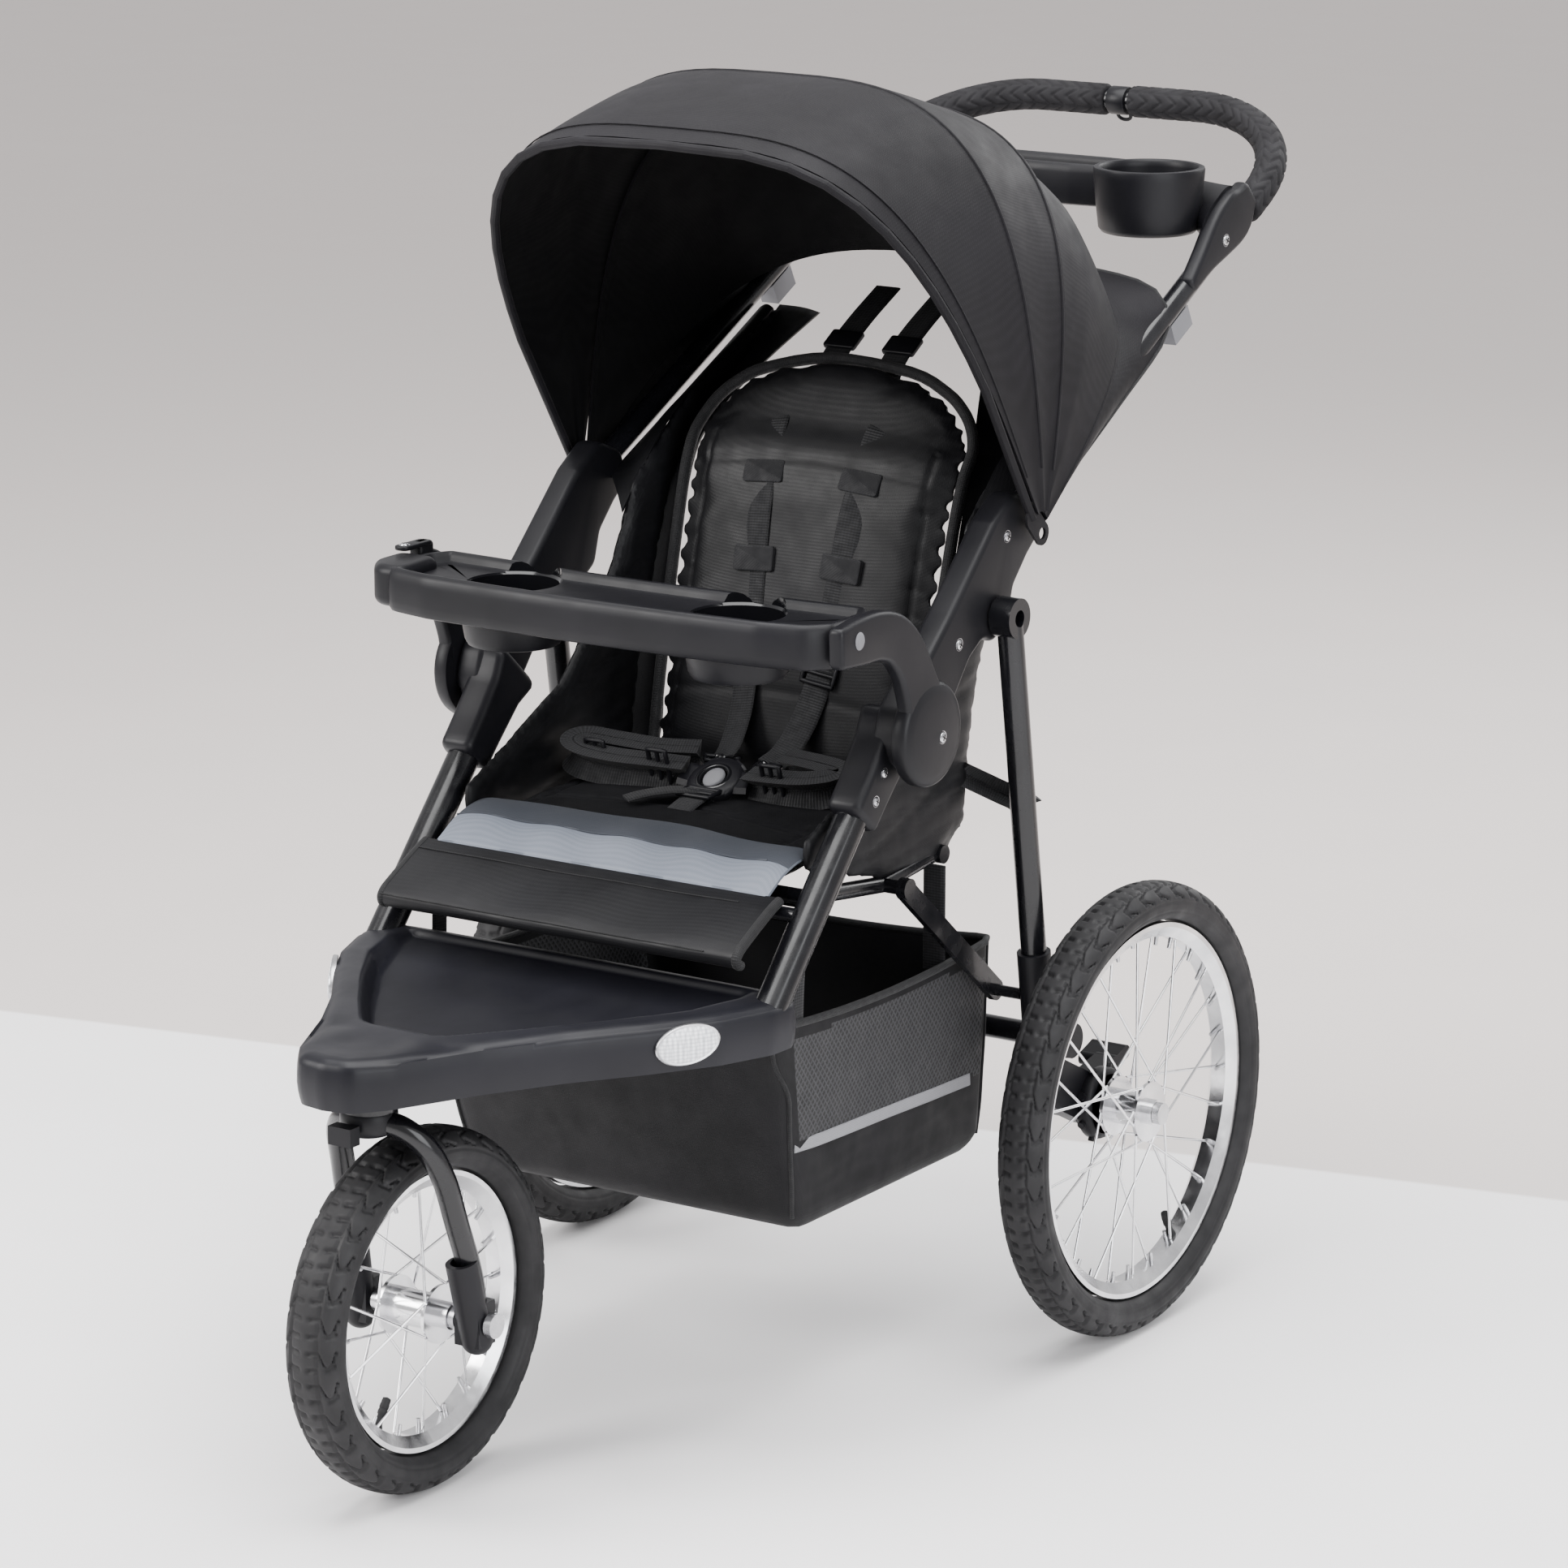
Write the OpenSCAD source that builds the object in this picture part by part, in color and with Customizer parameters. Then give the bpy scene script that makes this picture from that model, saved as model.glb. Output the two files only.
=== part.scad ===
// Three-wheeled jogging stroller: folding tube frame, swivel front wheel, five-point
// harness seat, tilting canopy, swing-open child tray, parent console and storage basket.
// Lengths run back from the front axle in Y, up from the ground in Z, and X is the child's left.

/* [Wheels] */
// Distance between the front and rear axles
wheelbase = 644; // [600:1:700]
// Distance between the rear wheels' centre planes
track = 564; // [550:1:620]
// Diameter of each rear tyre
rear_tyre_d = 396; // [330:1:480]
// Width of each rear tyre
rear_tyre_w = 44; // [36:1:50]
// Diameter of the front tyre
front_tyre_d = 297.6; // [240:0.1:360]
// Width of the front tyre
front_tyre_w = 51; // [40:1:60]
// Height of a tyre outside its rim
tyre_depth = 34.5; // [28:0.5:40]
// Radial depth of each rim
rim_depth = 13; // [9:1:18]
// Width of each rim
rim_w = 27; // [20:1:32]
// Spokes in each rear wheel
rear_spokes = 28; // [16:4:36]
// Spokes in the front wheel
front_spokes = 20; // [16:4:28]
// Thickness of a spoke
spoke_d = 2.4; // [1.8:0.1:3]
// Diameter of the wheel axles
axle_d = 12; // [8:1:14]

/* [Frame] */
// Diameter of the two lower frame tubes
lower_tube_d = 28; // [22:1:32]
// Distance of a lower frame tube from the middle
lower_tube_x = 195; // [185:1:200]
// Diameter of the handle tube
handle_tube_d = 20; // [16:1:22]
// Diameter of the rear legs
leg_tube_d = 22; // [16:1:24]
// Distance of a rear leg from the middle
leg_x = 235; // [234:1:240]
// Main joint, measured back from the front axle
joint_y = 389; // [360:1:410]
// Main joint, measured up from the ground
joint_z = 573; // [540:1:610]
// Diameter of the main joint's pivot pin
joint_pin_d = 16; // [10:1:20]
// Middle of the handle, measured back from the front axle
handle_y = 1085; // [1030:1:1140]
// Middle of the handle, measured up from the ground
handle_z = 1000; // [950:1:1060]
// Outer diameter of the foam grips
grip_d = 29; // [25:1:34]

/* [Seat] */
// Width of the seat cushion
seat_w = 330; // [260:1:334]
// Width of the seat back
back_w = 290; // [230:1:310]
// Thickness of the seat back
back_t = 26; // [18:1:32]
// Width of the harness webbing
webbing_w = 25; // [18:1:30]

/* [Canopy] */
// Outer width of the canopy
canopy_w = 476; // [474:1:500]
// Reach of the front rim from the canopy hinge
canopy_reach = 396; // [330:1:420]
// Thickness of the canopy panels
canopy_t = 3; // [2:0.5:3]
// Squareness of the canopy's arch
canopy_power = 3.4; // [2.5:0.1:4]

/* [Trays] */
// Bore of the parent console's cup holders
cup_bore_d = 84; // [70:1:88]
// Depth of the parent console's cup holders
cup_depth = 52; // [40:1:54]
// Bore of the child tray's cup wells
well_bore_d = 76; // [60:1:80]
// Depth of the child tray's cup wells
well_depth = 56; // [40:1:58]

/* [Basket] */
// Outer width of the basket at its rim
basket_w = 366; // [300:1:366]
// Thickness of the basket's walls
basket_t = 3; // [2:0.5:5]
// Height of the basket's rim
basket_top_z = 352; // [300:1:356]
// Height of the basket's floor
basket_floor_z = 158; // [120:1:220]

/* [Hidden] */

$fn = 64;

// Clearances: a running fit, a fitted seat, and a loose neighbour.
run_gap = 0.05;
seat_gap = 0.1;
slip = 0.3;
// A bend in a tube stands this far proud of its straight lengths.
bend_swell = 0.15;

// Steering: everything over the front wheel stands on its tyre.
steer_y = -59;
crown_z = front_tyre_d + 10;
crown_h = 22;
crown_r = 26;
steerer_r = 10;
head_r = 22;
head_z = crown_z + crown_h + slip;
shell_z = crown_z + crown_h + 14;
shell_h = 42;
shell_top_z = shell_z + shell_h;
head_top_z = shell_z + 26;

// Side layers, measured out from the middle.
lower_r = lower_tube_d / 2;
lower_in_x = lower_tube_x - lower_r - 3;
joint_split_x = lower_tube_x + 1.5;
bracket_in_x = joint_split_x + 0.5;
bracket_out_x = bracket_in_x + 26;
arm_in_x = bracket_out_x + 0.5;
arm_out_x = arm_in_x + 14.5;
handle_x = (bracket_in_x + bracket_out_x) / 2;

// Pivots, as [y, z] pairs.
joint = [joint_y, joint_z];
leg_pivot = joint + [121, 75];
canopy_pivot = joint + [173, 137];
bracket_top = joint + [137, 139];
brace_top = [416, 431];
brace_low = [561, 310];
rear_axle = [wheelbase, rear_tyre_d / 2];
front_axle_z = front_tyre_d / 2;
tray_hinge_y = joint_y - 89;
tray_pin_x = (arm_in_x + arm_out_x) / 2;
tray_pin_r = 4;
leg_dir = (brace_low - leg_pivot) / norm(brace_low - leg_pivot);

// Lower tube: from inside the foot shell up towards the main joint.
tube_foot = [200, shell_z + 18];
tube_dir = (joint - tube_foot) / norm(joint - tube_foot);
hub_r = 38;
cover_r = 42;
tube_end = joint - tube_dir * (hub_r + 6);

// Handle tube: two sides, two bends and a straight middle, all in one tilted plane.
handle_r = handle_tube_d / 2;
handle_start = bracket_top - [21, 14];
handle_tilt = atan2(handle_z - handle_start[1], handle_y - handle_start[0]);
handle_len = norm([handle_y, handle_z] - handle_start);
handle_bend_r = 125;
handle_side_x = lower_tube_x + 9;
grip_start = 20;
grip_split = 13;

// The origin is under the middle of the whole length.
rear_end = max(handle_y + grip_d / 2, wheelbase + rear_tyre_d / 2);
shift_y = -(rear_end - front_tyre_d / 2) / 2;

// Wheel parts.
leg_r = leg_tube_d / 2;
sleeve_r = leg_r + 3.5;
wheel_x = track / 2;
axle_r = axle_d / 2;
rear_hub_half = 24;
front_hub_half = 35;

// Cushions and trays.
pan_rear_y = 515 - back_t / 2 - 0.4;
back_path = [[515, 468], [540, 560], [583, 722], [642, 818]];
console_cup = [150, handle_y - 207, handle_z - 84];
console_cup_h = 58;
tray_z = joint_z + 74;
tray_h = 38;
tray_half_w = arm_in_x - 0.7;
tray_well = [112, joint_y - 97];
well_wall = 8;

// ---------- helpers ----------

module from_front_axle() {
    translate([0, shift_y, 0]) children();
}

module on_side(s) {
    if (s > 0) children();
    else mirror([1, 0, 0]) children();
}

// A round bar from p to q.
module rod(p, q, r) {
    d = q - p;
    translate(p)
        rotate([0, acos(d[2] / norm(d)), atan2(d[1], d[0])])
            cylinder(h = norm(d), r = r);
}

// A round bar along several points, with a ball in each bend.
module tube_path(points, r) {
    for (i = [0 : len(points) - 2]) rod(points[i], points[i + 1], r);
    if (len(points) > 2)
        for (i = [1 : len(points) - 2]) translate(points[i]) sphere(r = r + bend_swell);
}

// A flat shape drawn in Y and Z, standing from x0 to x1.
module side_plate(x0, x1) {
    translate([x0, 0, 0]) rotate([90, 0, 90]) linear_extrude(x1 - x0) children();
}

// A straight bar with round ends between two flat points.
module bar(p, q, w) {
    d = q - p;
    translate(p) rotate(atan2(d[1], d[0])) translate([0, -w / 2]) square([norm(d), w]);
    for (end = [p, q]) translate(end) circle(r = w / 2 + bend_swell);
}

module bars(points, w) {
    for (i = [0 : len(points) - 2]) bar(points[i], points[i + 1], w);
}

// A pin or bore along X through [y, z].
module across(yz, x0, x1, r) {
    translate([x0, yz[0], yz[1]]) rotate([0, 90, 0]) cylinder(h = x1 - x0, r = r);
}

// ---------- lower frame ----------

module lower_tube(s) {
    color("black") from_front_axle() on_side(s)
        rod([lower_tube_x, tube_foot[0], tube_foot[1]],
            [lower_tube_x, tube_end[0], tube_end[1]], lower_r);
}

module lower_tube_l() { lower_tube(1); }
module lower_tube_r() { lower_tube(-1); }

module shell_outline() {
    half = [[22, -112], [40, -92], [62, -50], [79, -11], [115, 47], [156, 100], [190, 150],
            [212, 198], [214, 240]];
    left = [for (p = half) p];
    right = [for (i = [len(half) - 1 : -1 : 0]) [-half[i][0], half[i][1]]];
    polygon(concat([[0, -118]], left, [[0, 236]], right));
}

module foot_shell() {
    well = [[-46, -2], [46, -2], [120, 92], [158, 150], [168, 206], [-168, 206], [-158, 150],
            [-120, 92]];
    color("dimgray") from_front_axle() difference() {
        translate([0, 0, shell_z]) linear_extrude(shell_h) shell_outline();
        translate([0, 0, shell_z + 9]) linear_extrude(shell_h) polygon(well);
        translate([0, steer_y, shell_z - 1]) cylinder(h = head_top_z - shell_z + 1 + seat_gap,
                                                      r = head_r + seat_gap);
        for (s = [-1, 1]) on_side(s)
            rod([lower_tube_x, tube_foot[0], tube_foot[1]],
                [lower_tube_x, tube_end[0], tube_end[1]], lower_r + seat_gap);
    }
}

module reflectors() {
    edge_a = [156, 100];
    edge_b = [190, 150];
    mid = (edge_a + edge_b) / 2;
    turn = atan2(edge_b[1] - edge_a[1], edge_b[0] - edge_a[0]);
    color("white") from_front_axle() for (s = [-1, 1]) on_side(s)
        translate([mid[0], mid[1], shell_z + 22]) rotate([0, 0, turn]) rotate([90, 0, 0])
            translate([0, 0, seat_gap]) linear_extrude(4) {
                square([26, 26], center = true);
                for (e = [-13, 13]) translate([e, 0]) circle(r = 13);
            }
}

module steering_head() {
    color("black") from_front_axle() translate([0, steer_y, 0]) difference() {
        translate([0, 0, head_z]) cylinder(h = head_top_z - head_z, r = head_r);
        translate([0, 0, head_z - 1])
            cylinder(h = head_top_z - head_z - 3, r = steerer_r + run_gap);
    }
}

module lower_bracket(s) {
    reach = joint - tube_dir * 82;
    color("dimgray") from_front_axle() on_side(s) difference() {
        union() {
            side_plate(lower_in_x, joint_split_x) {
                bar(reach, joint, 44);
                translate(joint) circle(r = hub_r);
            }
            difference() {
                side_plate(joint_split_x - 1, lower_tube_x + lower_r + 3) bar(reach, joint, 44);
                across(joint, joint_split_x, lower_tube_x + 60, hub_r + 0.6);
            }
            across(joint, joint_split_x - 1, arm_out_x - 2, joint_pin_d / 2);
        }
        rod([lower_tube_x, tube_foot[0], tube_foot[1]],
            [lower_tube_x, tube_end[0], tube_end[1]], lower_r + seat_gap);
    }
}

module lower_bracket_l() { lower_bracket(1); }
module lower_bracket_r() { lower_bracket(-1); }

brace_x = lower_tube_x - 5;
brace_t = 6;

// Bars under the seat, welded between the lower tubes.
module seat_frame() {
    rail_x = lower_tube_x - 25;
    bar_r = 8;
    rail_r = 7;
    front_bar = [296, 446];
    rear_bar = [500, 440];
    foot_bar = [258, 443];
    stub_end_x = brace_x + brace_t + 3;
    color("black") from_front_axle() difference() {
        union() {
            across(front_bar, -lower_tube_x + 5, lower_tube_x - 5, bar_r);
            across(foot_bar, -lower_tube_x + 5, lower_tube_x - 5, 6);
            across(rear_bar, -rail_x - 10, rail_x + 10, bar_r);
            for (s = [-1, 1]) on_side(s) {
                tube_path([[rail_x, front_bar[0], front_bar[1]],
                           [rail_x, brace_top[0], brace_top[1]],
                           [rail_x, rear_bar[0], rear_bar[1]]], rail_r);
                across(brace_top, rail_x, stub_end_x, 6);
                across(brace_top, brace_x + brace_t + slip, stub_end_x, 9);
            }
        }
        for (s = [-1, 1]) on_side(s)
            rod([lower_tube_x, tube_foot[0], tube_foot[1]],
                [lower_tube_x, tube_end[0], tube_end[1]], lower_r + seat_gap);
    }
}

module foot_panel() {
    color("black") from_front_axle() side_plate(-lower_tube_x + lower_r + 3, lower_tube_x - lower_r - 3)
        polygon([[189, 426], [251, 459], [251, 450.5], [200, 419], [205, shell_top_z + slip],
                 [196, shell_top_z + slip]]);
}

module seat_front_strip() {
    color("slategray") from_front_axle() side_plate(-lower_tube_x + lower_r + 3, lower_tube_x - lower_r - 3)
        polygon([[251.5, 460], [277, 469], [279.5, 466], [279.5, 454.5], [266, 450.5], [251.5, 450.5]]);
}

module seat_pan() {
    color("black") from_front_axle() side_plate(-seat_w / 2, seat_w / 2)
        polygon([[280, 455.2], [280, 468], [300, 473], [430, 480], [pan_rear_y, 474],
                 [pan_rear_y, 455.2]]);
}

module seat_wings() {
    color("black") from_front_axle() for (s = [-1, 1]) on_side(s)
        side_plate(seat_w / 2 + 0.4, seat_w / 2 + 10)
            polygon([[300, 457], [298, 484], [440, 556], [512, 640], [552, 712], [604, 786],
                     [636, 778], [602, 690], [556, 560], [536, 457]]);
}

module buckle() {
    color("black") from_front_axle() translate([0, 430, 480 + slip]) difference() {
        cylinder(h = 13, r = 24);
        translate([0, 0, 5]) cylinder(h = 10, r = 9.3);
    }
}

module buckle_button() {
    color("lightgray") from_front_axle() translate([0, 430, 480 + slip + 8]) cylinder(h = 7, r = 9);
}

module harness_straps() {
    color("black") from_front_axle() {
        for (s = [-1, 1]) on_side(s)
            translate([24.5, 430 - webbing_w / 2, 481]) cube([seat_w / 2 - 26, webbing_w, 2]);
        side_plate(-webbing_w / 2, webbing_w / 2)
            polygon([[330, 475], [405, 479.2], [405, 481.2], [330, 477]]);
    }
}

// Fabric basket: a tapered open box, with tabs up to the tubes and to the seat bars.
module basket_block(half_w, inset, z0, z1) {
    hull() {
        translate([-half_w, 243 + inset, z1 - 1]) cube([2 * half_w, 333 - 2 * inset, 1]);
        translate([-half_w + 14, 297 + inset, z0]) cube([2 * half_w - 28, 287 - 2 * inset, 1]);
    }
}

module basket() {
    color("black") from_front_axle() {
        difference() {
            basket_block(basket_w / 2, 0, basket_floor_z, basket_top_z);
            basket_block(basket_w / 2 - basket_t, basket_t, basket_floor_z + basket_t,
                         basket_top_z + 2);
        }
        for (s = [-1, 1]) on_side(s) {
            translate([lower_tube_x - lower_r - 3.2, 262, basket_top_z - 12]) cube([3, 22, 96]);
                        translate([158, 498, basket_top_z - 12]) cube([basket_w / 2 - 159, 4, 91.6]);
        }
    }
}

// ---------- upper frame ----------

module upper_bracket(s) {
    color("dimgray") from_front_axle() on_side(s) {
        difference() {
            union() {
                side_plate(bracket_in_x, bracket_out_x) {
                    translate(joint) circle(r = hub_r);
                    bar(joint, bracket_top, 46);
                    bar(joint, leg_pivot, 40);
                    bar(bracket_top, leg_pivot, 36);
                    bar(bracket_top, canopy_pivot, 28);
                }
            }
            across(joint, bracket_in_x - 1, bracket_out_x + 1, joint_pin_d / 2 + run_gap);
            in_handle_plane() handle_side(handle_r + seat_gap);
        }
        across(leg_pivot, bracket_out_x - 4, leg_x + 12, 7);
        across(leg_pivot, leg_x + 11.5, leg_x + 15, 12);
        across(canopy_pivot, bracket_out_x - 1, canopy_w / 2 - 9.2, 20);
        across(canopy_pivot, bracket_out_x - 1, canopy_w / 2 + 4, 5);
        across(canopy_pivot, canopy_w / 2 + 0.8, canopy_w / 2 + 4, 9);
    }
}

module upper_bracket_l() { upper_bracket(1); }
module upper_bracket_r() { upper_bracket(-1); }

// The handle's plane: X across, Y up along the tube, Z square to it.
module in_handle_plane() {
    translate([0, handle_start[0], handle_start[1]]) rotate([handle_tilt, 0, 0]) children();
}

module handle_side(r, from = 0) {
    top = handle_len - handle_bend_r;
    x0 = handle_x + (handle_side_x - handle_x) * from / top;
    rod([x0, from, 0], [handle_side_x, top, 0], r);
}

module handle_bend(r) {
    translate([handle_side_x, handle_len - handle_bend_r, 0]) sphere(r = r + bend_swell);
    translate([handle_side_x - handle_bend_r, handle_len - handle_bend_r, 0])
        rotate_extrude(angle = 90) translate([handle_bend_r, 0]) circle(r = r);
}

module handle_middle(r, x0) {
    across([handle_len, 0], x0, handle_side_x - handle_bend_r, r);
}

module handle_tube() {
    color("black") from_front_axle() in_handle_plane() {
        for (s = [-1, 1]) on_side(s) {
            handle_side(handle_r);
            handle_bend(handle_r);
        }
        handle_middle(handle_r, handle_bend_r - handle_side_x);
    }
}

module grip(s) {
    color("#202020") from_front_axle() in_handle_plane() on_side(s) difference() {
        union() {
            handle_side(grip_d / 2, handle_len - handle_bend_r - grip_start);
            handle_bend(grip_d / 2);
            handle_middle(grip_d / 2, grip_split);
        }
        handle_side(handle_r + seat_gap);
        handle_bend(handle_r + seat_gap);
        handle_middle(handle_r + seat_gap, 0);
    }
}

module grip_l() { grip(1); }
module grip_r() { grip(-1); }

module console() {
    deck_y = handle_y - 192;
    deck_z = handle_z - 70;
    wing = [[handle_y - 246, handle_z - 116], [handle_y - 233, handle_z - 130],
            [handle_y - 180, handle_z - 107], [handle_y - 145, handle_z - 88],
            [handle_y - 133, handle_z - 65], [handle_y - 145, handle_z - 38],
            [handle_y - 185, handle_z - 40], [handle_y - 217, handle_z - 75]];
    color("dimgray") from_front_axle() difference() {
        union() {
            translate([-102, deck_y, deck_z]) cube([204, 60, 38]);
            for (s = [-1, 1]) on_side(s) {
                translate(console_cup) cylinder(h = console_cup_h, d = cup_bore_d + 14);
                translate([100, deck_y, deck_z - 4]) cube([bracket_out_x - 107, 52, 24]);
                side_plate(handle_x - 7, handle_x + 6) polygon(wing);
            }
        }
        translate([-92, deck_y + 8, deck_z + 6]) cube([184, 44, 40]);
        for (s = [-1, 1]) on_side(s) {
            translate([0, 0, console_cup_h - cup_depth] + console_cup)
                cylinder(h = cup_depth + 1, d = cup_bore_d);
            in_handle_plane() handle_side(handle_r + seat_gap);
        }
    }
}

module trigger(s) {
    mid = handle_len * 0.54;
    x = handle_x + (handle_side_x - handle_x) * mid / (handle_len - handle_bend_r);
    color("gray") from_front_axle() in_handle_plane() on_side(s) difference() {
        translate([x - 9, mid - 16, -handle_r - 16]) cube([18, 32, 20]);
        handle_side(handle_r + slip);
    }
}

module trigger_l() { trigger(1); }
module trigger_r() { trigger(-1); }

// ---------- canopy ----------

canopy_steps = 30;
rear_angles = [38, 46, 54, 62, 70, 79];
front_angles = [77, 85, 93, 101, 109, 116, 122.6];

// Position round the arch, from one hinge to the other, crowded towards the hinges.
function arch_turn(j) = 90 - 89.6 * cos(180 * j / canopy_steps);
function arch_x(j, half_w) =
    half_w * sign(cos(arch_turn(j))) * pow(abs(cos(arch_turn(j))), 2 / canopy_power);
function arch_r(j, reach) = max(12, reach * pow(sin(arch_turn(j)), 2 / canopy_power));
function arch_point(j, angle, half_w, reach) = [
    arch_x(j, half_w),
    canopy_pivot[0] + arch_r(j, reach) * cos(angle),
    canopy_pivot[1] + arch_r(j, reach) * sin(angle)
];
function rear_reach(angle) = lookup(angle, [[38, canopy_reach - 96], [60, canopy_reach - 72],
                                            [79, canopy_reach - 56]]);
function front_reach(angle) = lookup(angle, [[77, canopy_reach - 50], [97, canopy_reach - 22],
                                             [122.6, canopy_reach]]);

// A thin arched panel: outer skin, inner skin and the four edges between them.
module arched_panel(angles, reaches, half_w) {
    m = canopy_steps + 1;
    n = len(angles);
    outer = [for (i = [0 : n - 1]) for (j = [0 : canopy_steps])
        arch_point(j, angles[i], half_w, reaches[i])];
    inner = [for (i = [0 : n - 1]) for (j = [0 : canopy_steps])
        arch_point(j, angles[i], half_w - canopy_t, reaches[i] - canopy_t)];
    k = m * n;
    skins = [for (i = [0 : n - 2]) for (j = [0 : canopy_steps - 1])
        let (a = i * m + j, b = a + 1, c = a + m + 1, d = a + m)
        each [[a, b, c], [a, c, d], [k + a, k + c, k + b], [k + a, k + d, k + c]]];
    arch_edges = [for (j = [0 : canopy_steps - 1])
        let (a = j, b = j + 1, c = (n - 1) * m + j, d = c + 1)
        each [[a, k + a, k + b], [a, k + b, b], [c, k + d, k + c], [c, d, k + d]]];
    side_edges = [for (i = [0 : n - 2])
        let (a = i * m, b = a + m, c = a + canopy_steps, d = c + m)
        each [[a, b, k + b], [a, k + b, k + a], [c, k + d, d], [c, k + c, k + d]]];
    polyhedron(concat(outer, inner), concat(skins, arch_edges, side_edges));
}

module canopy_rear() {
    color("#303030") from_front_axle()
        arched_panel(rear_angles, [for (a = rear_angles) rear_reach(a)], canopy_w / 2 - 6);
}

module canopy_front() {
    color("#303030") from_front_axle()
        arched_panel(front_angles, [for (a = front_angles) front_reach(a)], canopy_w / 2);
}

// A faceted round bar along points that lie in a plane with the given normal.
module swept_tube(points, normal, r, sides = 12) {
    last = len(points) - 1;
    rings = [for (i = [0 : last])
        let (d = points[min(i + 1, last)] - points[max(i - 1, 0)], t = d / norm(d), b = cross(normal, t))
        for (k = [0 : sides - 1]) points[i] + r * (cos(360 * k / sides) * normal + sin(360 * k / sides) * b)];
    walls = [for (i = [0 : last - 1]) for (k = [0 : sides - 1])
        let (a = i * sides + k, b = i * sides + (k + 1) % sides)
        each [[a, b, b + sides], [a, b + sides, a + sides]]];
    ends = [[for (k = [sides - 1 : -1 : 0]) k], [for (k = [0 : sides - 1]) last * sides + k]];
    polyhedron(rings, concat(walls, ends));
}

// The front bow in its hem, with an eye on each hinge pin.
module canopy_hem() {
    angle = front_angles[len(front_angles) - 1];
    ahead = (4 + slip) * [0, -sin(angle), cos(angle)];
    first = 5;
    path = [for (j = [first : canopy_steps - first])
        ahead + arch_point(j, angle, canopy_w / 2 - canopy_t / 2, canopy_reach - canopy_t / 2)];
    low = [path[0][0], canopy_pivot[0] + ahead[1] + 20 * cos(angle),
           canopy_pivot[1] + ahead[2] + 20 * sin(angle)];
    eye_in = canopy_w / 2 - 5.7;
    eye_out = canopy_w / 2 - canopy_t - 0.2;
    color("#202020") from_front_axle() {
        swept_tube(concat([low], path, [[-low[0], low[1], low[2]]]), [0, -sin(angle), cos(angle)], 4);
        for (s = [-1, 1]) on_side(s) difference() {
            side_plate(eye_in, eye_out) bar(canopy_pivot, [low[1], low[2]], 20);
            across(canopy_pivot, eye_in - 1, eye_out + 1, 5 + run_gap);
        }
    }
}

// ---------- child tray ----------

module arm_outline() {
    bars([[joint_y - 117, tray_z + 21], [joint_y - 58, tray_z + 21], [joint_y - 26, tray_z - 8],
          joint], 40);
    translate(joint) circle(r = cover_r);
}

// Upright pin at the child's right, with an ear over and under the tray's knuckle.
module tray_pin(r) {
    translate([tray_pin_x, tray_hinge_y, tray_z - 3]) cylinder(h = 46, r = r);
}

module tray_ears() {
    for (z = [tray_z - 5, tray_z + 41.3]) translate([tray_pin_x, tray_hinge_y, z]) {
        cylinder(h = 4, r = 7);
        translate([-6, 0, 0]) cube([12, 30, 4]);
    }
    for (z = [tray_z - 4, tray_z + 36])
        translate([tray_pin_x - 6, tray_hinge_y + 13, z]) cube([12, 17, 8]);
    tray_pin(tray_pin_r);
}

module tray_arm(s) {
    color("dimgray") from_front_axle() on_side(s) {
        difference() {
            union() {
                side_plate(arm_in_x, arm_out_x) arm_outline();
                across(joint, arm_in_x, arm_out_x + 3, cover_r - 12);
            }
            across(joint, arm_in_x - 1, arm_out_x - 1.5, joint_pin_d / 2 + run_gap);
            if (s < 0) translate([arm_in_x - 1, 0, tray_z - 30]) cube([20, tray_hinge_y + 12.6, 90]);
            else button_pocket();
        }
        if (s < 0) tray_ears();
    }
}

module tray_arm_l() { tray_arm(1); }
module tray_arm_r() { tray_arm(-1); }

module button_pocket() {
    across([joint_y - 112, tray_z + 24], arm_out_x - 8, arm_out_x + 1, 8.3);
}

module tray_button(s) {
    color("lightgray") from_front_axle() on_side(s)
        across([joint_y - 112, tray_z + 24], arm_out_x - 4.7, arm_out_x + 2, 8);
}

module tray_button_l() { tray_button(1); }
module tray_button_r() { tray_button(-1); }

module tray() {
    front = joint_y - 158;
    half = [[60, front], [112, front + 4], [165, front + 5], [204, front + 14],
            [tray_half_w, front + 26], [tray_half_w, front + 86], [tray_half_w - 12, front + 106],
            [130, front + 107], [60, front + 109]];
    back = [for (i = [len(half) - 1 : -1 : 0]) [-half[i][0], half[i][1]]];
    color("dimgray") from_front_axle() difference() {
        union() {
            translate([0, 0, tray_z]) linear_extrude(tray_h) polygon(concat(half, back));
            for (s = [-1, 1]) translate([s * tray_well[0], tray_well[1], tray_z + tray_h - well_depth - 6])
                cylinder(h = well_depth + 6, d = well_bore_d + 2 * well_wall);
            intersection() {
                mirror([1, 0, 0]) side_plate(tray_half_w - 1, arm_out_x) arm_outline();
                translate([-300, 0, tray_z - 10]) cube([300, tray_hinge_y + 9, 80]);
            }
        }
        for (s = [-1, 1]) translate([s * tray_well[0], tray_well[1], tray_z + tray_h - well_depth])
            cylinder(h = well_depth + 1, d = well_bore_d);
        translate([-58, front + 12, tray_z + 6]) cube([116, 84, tray_h]);
        mirror([1, 0, 0]) {
            button_pocket();
            translate([0, 0, -10]) tray_pin(tray_pin_r + run_gap);
            translate([0, 0, 10]) tray_pin(tray_pin_r + run_gap);
        }
    }
}

// ---------- seat back ----------

module seat_back() {
    color("black") from_front_axle() side_plate(-back_w / 2, back_w / 2) bars(back_path, back_t);
}

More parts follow.
